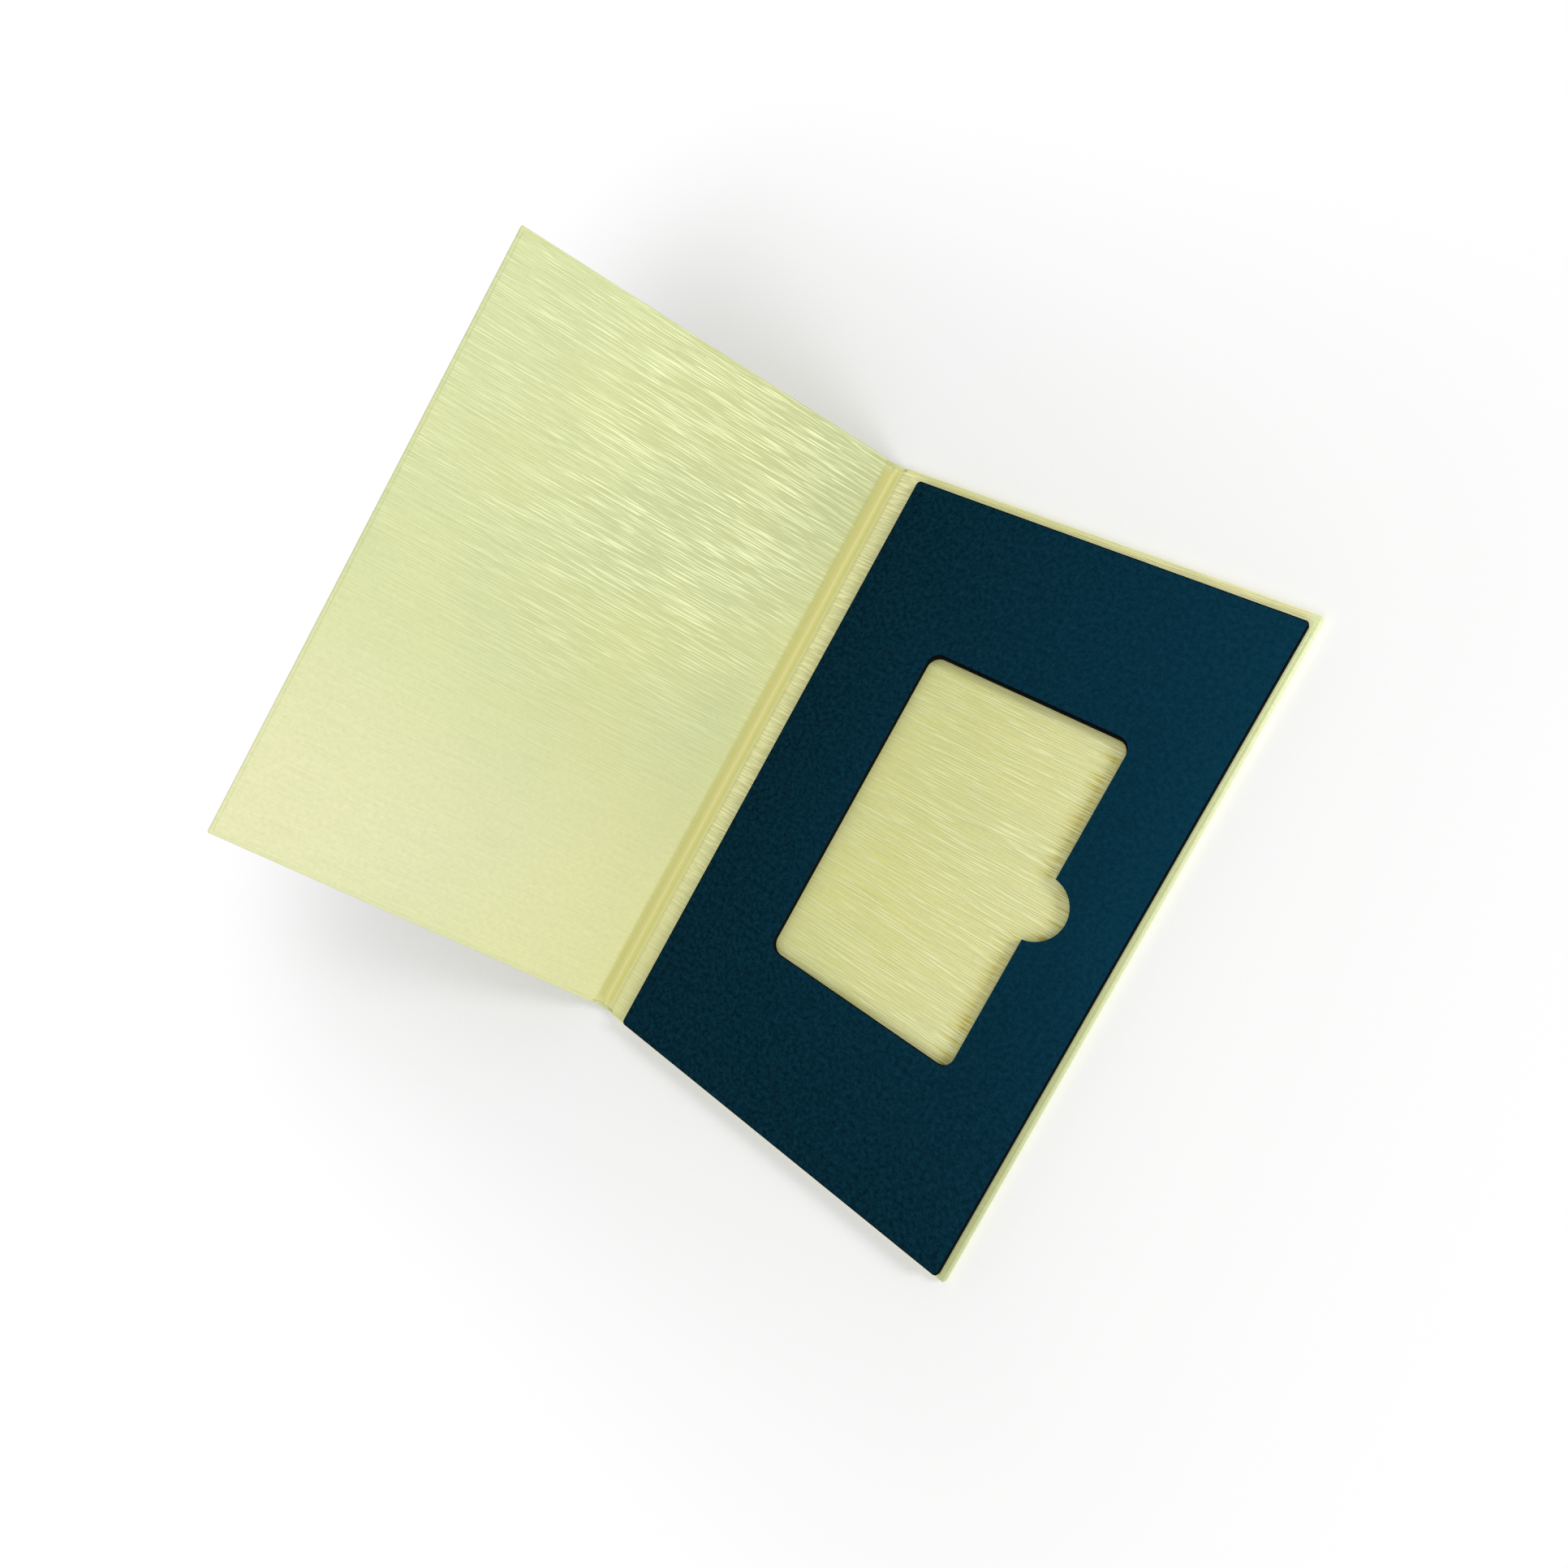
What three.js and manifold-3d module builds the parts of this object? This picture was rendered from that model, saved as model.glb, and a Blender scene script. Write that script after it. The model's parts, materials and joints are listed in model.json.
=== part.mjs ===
// Book-style presentation case for one card: two paper-wrapped board covers, a creased paper spine
// and a die-cut insert on the back cover, with a card pocket and a thumb notch.
// Millimetres, +Z up. The origin is the centre of the back cover's outer face,
// +X runs to that cover's fore edge and +Y to its head edge.
import * as THREE from "three";
import { mergeVertices } from "three/addons/utils/BufferGeometryUtils.js";
import Module from "manifold-3d";

// Covers
const coverWidth = 110; // wrapped, spine edge to fore edge
const coverLength = 170; // wrapped, tail edge to head edge
const boardThickness = 2;
const coverCorner = 0.9; // plan radius of the wrapped corners
const coverEdge = 0.5; // radius where the wrap turns over an edge

// Wrap and lining
const paper = 0.2;
const glue = 0.05; // glue line between two layers
const turnIn = 15; // how far the wrap is turned in over a board
const mitreSlit = 0.3; // slit between two turn-ins at a corner
const mitreWhole = 1; // paper left whole behind the corner's point
const liningInset = 1.2; // lining's edge inside the cover's edge

// Creases and spine
const creaseDepth = 0.95; // drop of the lining from a cover to the spine
const creaseRun = 1.5; // width over which the paper drops
const creaseStart = 0.5; // where the drop starts, inside the board's spine edge
const foldClearance = 0.15; // end of a paper panel to the fold line
const ridgeHeight = 0.4; // pleat that the pressed grooves raise between them
const ridgeWidth = 2; // of that pleat at its foot
const openingAngle = 133; // degrees between the covers as the case stands open
const closingClearance = 0.2; // insert to the front lining when the case is shut

// Insert on the back cover
const spineMargin = 6; // insert's edges inside the cover's edges
const foreMargin = 1.6;
const headMargin = 2.8;
const tailMargin = 0.8;
const insertCorner = 1;
const coreThickness = 1.7;
const faceInset = 0.3; // face paper's edges inside the core's edges
const tapeThickness = 0.15;
const tapeWidth = 10;
const tapeInset = 2; // tape's edge inside the insert's edge
const tapeGap = 2; // between two strips

// Card pocket and thumb notch
const cardWidth = 54;
const cardLength = 85.6;
const cardClearance = 0.6; // pocket longer and wider than the card
const pocketCorner = 3.3;
const pocketForeWall = 20.2; // insert left between the pocket and the fore edge
const headReveal = 0.7; // core that the face paper leaves bare along the pocket's head
const notchRadius = 8;
const notchInset = 1.2; // notch's centre inside the pocket's fore wall

// Facets
const arcSteps = 8;
const cornerSteps = 3;
const edgeSteps = 3;
const creaseSteps = 8;
const ridgeSteps = 16;
const spare = 5; // how far a cutting solid runs past what it cuts
const seam = 0.3; // overlap of two parts of one sheet where they are joined

// Layer heights on a cover, from its outer face
const boardLow = paper + glue;
const turnInHigh = boardLow + boardThickness;
const turnInLow = turnInHigh - paper;
const rebateFloor = turnInLow - glue;
const liningLow = turnInHigh + glue;
const liningHigh = liningLow + paper;

// Layer heights on the spine: the fold lines lie on the face of its lining
const foldHeight = liningHigh - creaseDepth;
const spineLiningLow = foldHeight - paper;
const hemHigh = spineLiningLow - glue;
const hemLow = hemHigh - paper;
const spineWrapHigh = hemLow - glue;
const spineWrapLow = spineWrapHigh - paper;

// Layer heights of the insert
const tapeLow = liningHigh + glue;
const tapeHigh = tapeLow + tapeThickness;
const coreLow = tapeHigh + glue;
const coreHigh = coreLow + coreThickness;
const faceLow = coreHigh + glue;
const faceHigh = faceLow + paper;

// Plan of a cover
const foreEdge = coverWidth / 2;
const spineEdge = -coverWidth / 2;
const headEdge = coverLength / 2;
const tailEdge = -coverLength / 2;
const creaseX = spineEdge + creaseStart;
const panelEnd = creaseX - creaseRun;
const foldX = panelEnd - foldClearance;
const foldAngle = THREE.MathUtils.degToRad((180 - openingAngle) / 2);

// The spine is as wide as the shut case is deep between its fold lines
const closedGap = faceHigh - liningHigh + closingClearance;
const spineWidth = closedGap + 2 * creaseDepth;
const spineFore = -foldClearance;
const spineFar = foldClearance - spineWidth;

// Plan of the insert and its pocket
const insertSpine = spineEdge + spineMargin;
const insertFore = foreEdge - foreMargin;
const insertHead = headEdge - headMargin;
const insertTail = tailEdge + tailMargin;
const pocketFore = insertFore - pocketForeWall;
const pocketSpine = pocketFore - cardWidth - cardClearance;
const pocketMiddle = (insertHead + insertTail) / 2;
const pocketHead = pocketMiddle + (cardLength + cardClearance) / 2;
const pocketTail = pocketMiddle - (cardLength + cardClearance) / 2;

const wasm = await Module();
wasm.setup();

function solidOf(geometry) {
  geometry.deleteAttribute("normal");
  geometry.deleteAttribute("uv");
  const merged = mergeVertices(geometry);
  const vertProperties = merged.attributes.position.array;
  const triVerts = Uint32Array.from(merged.index.array);
  return new wasm.Manifold(new wasm.Mesh({ numProp: 3, vertProperties, triVerts }));
}

function geometryOf(solid) {
  const mesh = solid.getMesh();
  const geometry = new THREE.BufferGeometry();
  geometry.setAttribute("position", new THREE.BufferAttribute(mesh.vertProperties, 3));
  geometry.setIndex(new THREE.BufferAttribute(mesh.triVerts, 1));
  const faceted = geometry.toNonIndexed();
  faceted.computeVertexNormals();
  return faceted;
}

function roundedRectangle(left, right, bottom, top, radius) {
  const quarter = Math.PI / 2;
  const shape = new THREE.Shape();
  shape.moveTo(left + radius, bottom);
  shape.absarc(right - radius, bottom + radius, radius, -quarter, 0);
  shape.absarc(right - radius, top - radius, radius, 0, quarter);
  shape.absarc(left + radius, top - radius, radius, quarter, 2 * quarter);
  shape.absarc(left + radius, bottom + radius, radius, 2 * quarter, 3 * quarter);
  return shape;
}

function block(left, right, tail, head, low, high) {
  const geometry = new THREE.BoxGeometry(right - left, head - tail, high - low);
  geometry.translate((left + right) / 2, (tail + head) / 2, (low + high) / 2);
  return solidOf(geometry);
}

// A flat sheet or plate of the given outline, between two heights.
function plate(shape, low, high) {
  const geometry = new THREE.ExtrudeGeometry(shape, {
    depth: high - low,
    bevelEnabled: false,
    curveSegments: arcSteps,
  });
  geometry.translate(0, 0, low);
  return solidOf(geometry);
}

// A cover-shaped slab with rounded edges, set in from the wrapped cover's outside on the fore, head and
// tail sides. It runs past the spine edge, where the caller trims it.
function coverSlab(inset, low, high, spineSpare) {
  const edge = coverEdge - inset;
  const shape = roundedRectangle(
    spineEdge - spineSpare + edge,
    foreEdge - inset - edge,
    tailEdge + inset + edge,
    headEdge - inset - edge,
    coverCorner - inset - edge,
  );
  const geometry = new THREE.ExtrudeGeometry(shape, {
    depth: high - low - 2 * edge,
    bevelThickness: edge,
    bevelSize: edge,
    bevelSegments: edgeSteps,
    curveSegments: cornerSteps,
  });
  geometry.translate(0, 0, low + edge);
  return solidOf(geometry);
}

// A profile of x and z points, drawn out from tail to head.
function prismAlongY(points, tail, head) {
  const geometry = new THREE.ExtrudeGeometry(new THREE.Shape(points), {
    depth: head - tail,
    bevelEnabled: false,
  });
  geometry.rotateX(Math.PI / 2);
  geometry.translate(0, head, 0);
  return solidOf(geometry);
}

// Points along a layer's face, from a start near the fold to a far end. The face lies at one height on the
// cover and moves by the whole shift where the crease ends.
function creasedLine(start, end, height, shift) {
  const points = [];
  for (let step = 0; step <= creaseSteps; step++) {
    const x = THREE.MathUtils.lerp(start, creaseX, step / creaseSteps);
    const share = THREE.MathUtils.smoothstep(creaseX - x, 0, creaseRun);
    points.push(new THREE.Vector2(x, height + shift * share));
  }
  points.push(new THREE.Vector2(end, height));
  return points;
}

// A layer between two creased faces, each given as [height on the cover, shift at the fold].
function creasedLayer(start, end, low, high, tail, head) {
  const underside = creasedLine(start, end, ...low);
  const top = creasedLine(start, end, ...high);
  return prismAlongY([...underside, ...top.reverse()], tail, head);
}

const outerFace = [0, spineWrapLow];
const wrapInside = [paper, spineWrapLow];
const boardUnderside = [boardLow, spineWrapLow];
const rebateFace = [rebateFloor, -creaseDepth];
const turnInUnderside = [turnInLow, -creaseDepth];
const turnInFace = [turnInHigh, -creaseDepth];
const liningUnderside = [liningLow, -creaseDepth];
const liningFace = [liningHigh, -creaseDepth];

// Greyboard of a cover. Its spine edge is pressed in along the crease, and a shallow rebate along the other
// edges takes the turn-ins, so that the lining lies flat.
function coverBoard() {
  const inset = paper + glue;
  const slab = coverSlab(inset, boardLow, rebateFloor, spare);
  const body = creasedLayer(spineEdge, foreEdge, boardUnderside, rebateFace, tailEdge, headEdge);
  const land = creasedLayer(
    spineEdge,
    foreEdge - turnIn - glue,
    boardUnderside,
    turnInFace,
    tailEdge + turnIn + glue,
    headEdge - turnIn - glue,
  );
  return slab.intersect(body).add(land);
}

// Slit between the turn-ins at a fore corner, on the corner's bisector. The side is 1 at the head.
function mitreCut(side) {
  const length = Math.SQRT2 * (turnIn - mitreWhole) + spare;
  const geometry = new THREE.BoxGeometry(length, mitreSlit, spare);
  geometry.translate(-length / 2 - Math.SQRT2 * mitreWhole, 0, turnInLow + spare / 2 - glue);
  geometry.rotateZ((side * Math.PI) / 4);
  geometry.translate(foreEdge, side * headEdge, 0);
  return solidOf(geometry);
}

// Wrap of a cover: outer sheet, edges and turn-ins, with the sheet's own way down into the crease.
function coverWrap() {
  const outside = coverSlab(0, 0, turnInHigh, spare);
  const inside = coverSlab(paper, paper, turnInLow, 2 * spare);
  const window = block(
    spineEdge - 2 * spare,
    foreEdge - turnIn,
    tailEdge + turnIn,
    headEdge - turnIn,
    paper,
    turnInHigh + spare,
  );
  const spineSide = block(spineEdge - 2 * spare, creaseX, tailEdge, headEdge, 0, turnInHigh);
  const tray = outside.subtract(inside).subtract(window).subtract(spineSide);
  const start = panelEnd;
  const end = creaseX + seam;
  let lips = creasedLayer(start, end, outerFace, wrapInside, tailEdge, headEdge);
  for (const side of [-1, 1]) {
    const flap = [side * headEdge, side * (headEdge - turnIn)].sort((a, b) => a - b);
    const hem = [side * headEdge, side * (headEdge - paper)].sort((a, b) => a - b);
    lips = lips
      .add(creasedLayer(start, end, turnInUnderside, turnInFace, ...flap))
      .add(creasedLayer(start, end, outerFace, turnInFace, ...hem));
  }
  return tray.subtract(mitreCut(1)).subtract(mitreCut(-1)).add(lips.intersect(outside));
}

function coverLining() {
  return creasedLayer(
    panelEnd,
    foreEdge - liningInset,
    liningUnderside,
    liningFace,
    tailEdge + liningInset,
    headEdge - liningInset,
  );
}

// Spine stretch of the wrap, hemmed over itself at head and tail, between the two fold lines.
// Lengths across the spine are from the back cover's fold line.
function spineWrap() {
  const hemRadius = (hemHigh - spineWrapLow) / 2;
  const hemMiddle = spineWrapLow + hemRadius;
  const hemStart = headEdge - turnIn;
  const foldInside = headEdge - paper;
  const section = new THREE.Shape();
  section.moveTo(tailEdge + hemRadius, spineWrapLow);
  section.absarc(headEdge - hemRadius, hemMiddle, hemRadius, -Math.PI / 2, Math.PI / 2);
  section.lineTo(hemStart, hemHigh);
  section.lineTo(hemStart, hemLow);
  section.lineTo(foldInside, hemLow);
  section.lineTo(foldInside, spineWrapHigh);
  section.lineTo(-foldInside, spineWrapHigh);
  section.lineTo(-foldInside, hemLow);
  section.lineTo(-hemStart, hemLow);
  section.lineTo(-hemStart, hemHigh);
  section.absarc(tailEdge + hemRadius, hemMiddle, hemRadius, Math.PI / 2, (3 * Math.PI) / 2);
  const geometry = new THREE.ExtrudeGeometry(section, {
    depth: spineFore - spineFar,
    bevelEnabled: false,
    curveSegments: arcSteps,
  });
  const along = new THREE.Vector3(0, 1, 0);
  const upward = new THREE.Vector3(0, 0, 1);
  const across = new THREE.Vector3(1, 0, 0);
  geometry.applyMatrix4(new THREE.Matrix4().makeBasis(along, upward, across));
  geometry.translate(spineFar, 0, 0);
  return solidOf(geometry);
}

// Points across the spine on a face of its lining: flat grooves beside a rounded ridge.
function ridgeLine(height) {
  const points = [new THREE.Vector2(spineFar, height)];
  const foot = -(spineWidth + ridgeWidth) / 2;
  for (let step = 0; step <= ridgeSteps; step++) {
    const share = step / ridgeSteps;
    const rise = ridgeHeight * Math.sin(Math.PI * share) ** 2;
    points.push(new THREE.Vector2(foot + ridgeWidth * share, height + rise));
  }
  points.push(new THREE.Vector2(spineFore, height));
  return points;
}

function spineLining() {
  const points = [...ridgeLine(spineLiningLow), ...ridgeLine(foldHeight).reverse()];
  return prismAlongY(points, tailEdge + liningInset, headEdge - liningInset);
}

// Pocket's outline: the card's rounded rectangle, with the thumb notch let into its fore wall.
// The reveal moves its head side outwards.
function pocketOutline(reveal) {
  const quarter = Math.PI / 2;
  const radius = pocketCorner;
  const head = pocketHead + reveal;
  const notchTurn = Math.acos(notchInset / notchRadius);
  const path = new THREE.Path();
  path.moveTo(pocketSpine + radius, pocketTail);
  path.absarc(pocketFore - radius, pocketTail + radius, radius, -quarter, 0);
  path.absarc(pocketFore - notchInset, pocketMiddle, notchRadius, -notchTurn, notchTurn);
  path.absarc(pocketFore - radius, head - radius, radius, 0, quarter);
  path.absarc(pocketSpine + radius, head - radius, radius, quarter, 2 * quarter);
  path.absarc(pocketSpine + radius, pocketTail + radius, radius, 2 * quarter, 3 * quarter);
  return path;
}

function insertLayer(low, high, inset, reveal) {
  const outline = roundedRectangle(
    insertSpine + inset,
    insertFore - inset,
    insertTail + inset,
    insertHead - inset,
    insertCorner - inset,
  );
  outline.holes.push(pocketOutline(reveal));
  return plate(outline, low, high);
}

// Strips of double-sided tape under the insert: two across it, two between those along its sides.
function tapeStrips() {
  const left = insertSpine + tapeInset;
  const right = insertFore - tapeInset;
  const tail = insertTail + tapeInset;
  const head = insertHead - tapeInset;
  const sideTail = tail + tapeWidth + tapeGap;
  const sideHead = head - tapeWidth - tapeGap;
  return {
    insert_tape_head: block(left, right, head - tapeWidth, head, tapeLow, tapeHigh),
    insert_tape_tail: block(left, right, tail, tail + tapeWidth, tapeLow, tapeHigh),
    insert_tape_spine: block(left, left + tapeWidth, sideTail, sideHead, tapeLow, tapeHigh),
    insert_tape_fore: block(right - tapeWidth, right, sideTail, sideHead, tapeLow, tapeHigh),
  };
}

function goldPaper() {
  return new THREE.MeshStandardMaterial({ color: 0xd7dba3, roughness: 0.45, metalness: 0.35 });
}

function bluePaper() {
  return new THREE.MeshStandardMaterial({ color: 0x082a38, roughness: 0.85, metalness: 0 });
}

function blackCard() {
  return new THREE.MeshStandardMaterial({ color: 0x0b0d0f, roughness: 0.9, metalness: 0 });
}

function greyBoard() {
  return new THREE.MeshStandardMaterial({ color: 0x8f8a80, roughness: 0.95, metalness: 0 });
}

function clearTape() {
  return new THREE.MeshStandardMaterial({ color: 0xd9d6c8, roughness: 0.4, metalness: 0 });
}

function piece(name, solid, material) {
  const mesh = new THREE.Mesh(geometryOf(solid), material);
  mesh.name = name;
  return mesh;
}

function coverPieces(side) {
  return [
    piece(`${side}_board`, coverBoard(), greyBoard()),
    piece(`${side}_wrap`, coverWrap(), goldPaper()),
    piece(`${side}_lining`, coverLining(), goldPaper()),
  ];
}

function insertPieces() {
  const strips = Object.entries(tapeStrips()).map(([name, strip]) => piece(name, strip, clearTape()));
  return [
    ...strips,
    piece("insert_core", insertLayer(coreLow, coreHigh, 0, 0), blackCard()),
    piece("insert_face", insertLayer(faceLow, faceHigh, faceInset, headReveal), bluePaper()),
  ];
}

// The front cover is the back cover turned half round, on the spine's far fold line.
function frontCover() {
  const group = new THREE.Group();
  group.position.x = -spineWidth;
  group.rotation.y = foldAngle;
  for (const mesh of coverPieces("front")) {
    mesh.rotation.z = Math.PI;
    mesh.position.set(foldX, 0, -foldHeight);
    group.add(mesh);
  }
  return group;
}

// The spine swings on the back cover's fold line and carries the front cover.
function spine() {
  const group = new THREE.Group();
  group.position.set(foldX, 0, foldHeight);
  group.rotation.y = foldAngle;
  const wrap = piece("spine_wrap", spineWrap(), goldPaper());
  const lining = piece("spine_lining", spineLining(), goldPaper());
  for (const mesh of [wrap, lining]) {
    mesh.position.z = -foldHeight;
    group.add(mesh);
  }
  group.add(frontCover());
  return group;
}

const cardCase = new THREE.Group();
cardCase.add(...coverPieces("back"), ...insertPieces(), spine());

export default cardCase;
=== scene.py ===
"""Book-style card case: paper sheets, die-cut insert, finishes and studio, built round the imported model."""

import json
import math
from functools import reduce, wraps

import bmesh
import bpy
from bpy.props import FloatProperty, FloatVectorProperty, PointerProperty
from mathutils import Matrix, Vector


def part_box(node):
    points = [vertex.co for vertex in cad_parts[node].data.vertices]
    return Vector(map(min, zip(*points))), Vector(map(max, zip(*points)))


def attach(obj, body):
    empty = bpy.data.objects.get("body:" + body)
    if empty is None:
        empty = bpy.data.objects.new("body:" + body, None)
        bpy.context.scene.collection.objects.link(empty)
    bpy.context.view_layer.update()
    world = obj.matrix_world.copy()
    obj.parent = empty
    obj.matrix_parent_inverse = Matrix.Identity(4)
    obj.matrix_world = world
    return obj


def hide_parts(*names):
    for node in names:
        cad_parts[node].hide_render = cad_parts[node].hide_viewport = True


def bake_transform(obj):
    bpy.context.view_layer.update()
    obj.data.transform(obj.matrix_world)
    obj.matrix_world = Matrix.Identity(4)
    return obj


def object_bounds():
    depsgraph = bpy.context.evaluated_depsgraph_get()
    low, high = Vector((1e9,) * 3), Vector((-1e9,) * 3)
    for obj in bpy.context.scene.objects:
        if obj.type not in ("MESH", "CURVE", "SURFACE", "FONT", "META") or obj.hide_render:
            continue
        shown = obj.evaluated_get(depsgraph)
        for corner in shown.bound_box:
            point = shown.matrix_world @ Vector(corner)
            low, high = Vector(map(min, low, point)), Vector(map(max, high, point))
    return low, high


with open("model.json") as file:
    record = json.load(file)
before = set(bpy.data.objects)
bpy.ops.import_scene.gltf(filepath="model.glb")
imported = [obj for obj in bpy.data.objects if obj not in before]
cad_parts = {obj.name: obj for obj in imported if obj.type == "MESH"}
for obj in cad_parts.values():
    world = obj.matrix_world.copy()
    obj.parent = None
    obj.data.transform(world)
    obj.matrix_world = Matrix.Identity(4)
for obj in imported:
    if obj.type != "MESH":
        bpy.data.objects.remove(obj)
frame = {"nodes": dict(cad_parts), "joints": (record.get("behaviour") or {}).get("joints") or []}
CAD_LOW, CAD_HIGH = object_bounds()

bl_info = {
    "name": "Card case",
    "version": (1, 0, 0),
    "blender": (4, 5, 0),
    "location": "3D View > Sidebar > Card case",
    "description": "Paper, insert and studio for a book-style card case",
    "category": "Object",
}

MM = 0.001
SHEET_MAP = "sheet"  # UV map of a paper sheet: its flat place in metres
_, WRAP_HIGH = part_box("back_wrap")
_, LINING_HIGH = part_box("back_lining")
FACE_LOW, FACE_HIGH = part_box("insert_face")
CORE_LOW, CORE_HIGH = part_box("insert_core")
JOINTS = {joint["name"]: joint for joint in frame["joints"]}
BACK_FOLD = Vector(JOINTS["spine_fold"]["pos_m"])
FRONT_FOLD = Vector(JOINTS["cover_fold"]["pos_m"])
SPINE_WAY = (FRONT_FOLD - BACK_FOLD).normalized()
SPINE_MIDDLE = BACK_FOLD.x - 0.5 * (FRONT_FOLD - BACK_FOLD).length  # on the flat sheet, between the folds
FOLD_ANGLE = math.atan2(SPINE_WAY.z, -SPINE_WAY.x)  # how far each fold is bent as the case stands open
BOARDS = ("back_board", "front_board")
TAPES = ("insert_tape_head", "insert_tape_tail", "insert_tape_spine", "insert_tape_fore")


def place(name, description, default, **limits):
    """A coordinate on the case that the user can change, in metres."""
    return FloatProperty(
        name=name, description=description, default=default, unit="LENGTH", precision=5, **limits
    )


def size(name, description, default):
    """A length that the user can change, in metres."""
    return place(name, description, default, min=0)


def tint(name, description, default):
    """A scene-linear colour that the user can change."""
    return FloatVectorProperty(
        name=name, description=description, default=default, subtype="COLOR", size=3, min=0, max=1
    )


class CoverSizes(bpy.types.PropertyGroup):
    """Sizes of the wrapped covers."""

    fore_edge: place("Fore edge", "Back cover's fore edge", WRAP_HIGH.x)
    half_length: size("Half length", "Middle of a cover to its head edge", WRAP_HIGH.y)
    wrap_height: size("Wrap height", "Outer face of a cover to the face of its turn-ins", WRAP_HIGH.z)
    lining_height: size("Lining height", "Outer face of a cover to the face of its lining", LINING_HIGH.z)
    lining_inset: size("Lining inset", "Cover's edge to the lining's edge", WRAP_HIGH.y - LINING_HIGH.y)
    paper: size("Paper", "Thickness of the gold paper", 0.2 * MM)
    corner: size("Corner", "Plan radius of a cover's corners", 0.55 * MM)
    edge: size("Edge", "Radius where the wrap turns over a board", 0.5 * MM)
    turn_in: size("Turn-in", "How far the wrap is turned in over a board", 15 * MM)
    slit: size("Mitre slit", "Slit between two turn-ins", 0.3 * MM)
    corner_crease: size("Corner crease", "How far the crease runs along the head edge", 15.8 * MM)
    corner_crease_in: size("Corner crease inwards", "How far its end lies from the head edge", 4.1 * MM)
    corner_crease_width: size("Corner crease width", "Half the width of that crease", 0.5 * MM)
    corner_crease_depth: size("Corner crease depth", "How deep that crease is", 0.14 * MM)
    turn_in_step: size("Turn-in step", "Drop of the lining inside the turn-ins", 0.03 * MM)


class HingeSizes(bpy.types.PropertyGroup):
    """Sizes of the creases and the spine between them."""

    crease_start: place("Crease start", "Where the paper leaves the back board", -54.5 * MM)
    crease_run: size("Crease run", "Width over which the wrap drops", 1.5 * MM)
    crease_depth: size("Crease depth", "Drop of the lining to the spine", LINING_HIGH.z - BACK_FOLD.z)
    ridge_height: size("Ridge height", "Pleat between the two grooves", 0.4 * MM)
    ridge_width: size("Ridge width", "Foot of that pleat", 2.0 * MM)
    spine_low: size("Spine low", "Outer face of the spine, over the cover's outer face", 0.85 * MM)
    hem_high: size("Hem high", "Face of the spine's hem, over the cover's outer face", 1.3 * MM)
    fold_reach: size("Fold reach", "Half the width of a paper fold", 1.2 * MM)
    lining_run: size("Lining's run", "Width over which the lining drops to the spine", 3.6 * MM)
    # Reaches of the groove tone, paper darkened by pressing and by painted shade
    front_press: size("Front press", "How far the pressed colour reaches to the front cover", 4.2 * MM)
    back_press: size("Back press", "How far the pressed colour reaches to the back cover", 3.0 * MM)
    # The crest is a painted highlight along the ridge
    crest: size("Crest", "Half the width of the rubbed line on the ridge", 1.1 * MM)


class InsertSizes(bpy.types.PropertyGroup):
    """Sizes of the die-cut insert."""

    corner: size("Corner", "Radius of the insert's corners", 1 * MM)
    pocket_spine: place("Pocket's spine wall", "Pocket's wall on the spine side", -21.4 * MM)
    pocket_fore: place("Pocket's fore wall", "Pocket's wall on the fore side", 33.2 * MM)
    pocket_tail: place("Pocket's tail wall", "Pocket's wall on the tail side", -44.1 * MM)
    pocket_head: place("Pocket's head wall", "Pocket's wall on the head side", 42.1 * MM)
    pocket_corner: size("Pocket corner", "Radius of the pocket's corners", 3.3 * MM)
    notch: size("Thumb notch", "Radius of the thumb notch", 8 * MM)
    notch_inset: size("Notch inset", "Notch's centre inside the pocket", 1.2 * MM)
    cut_edge: size("Cut edge", "Rounding that the die leaves on the paper", 0.07 * MM)
    head_reveal: size("Head reveal", "Core that the paper leaves bare along the pocket's head", 0.7 * MM)
    ply_groove: size("Ply groove", "Depth of the lines between the core's plies", 0.03 * MM)


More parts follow.
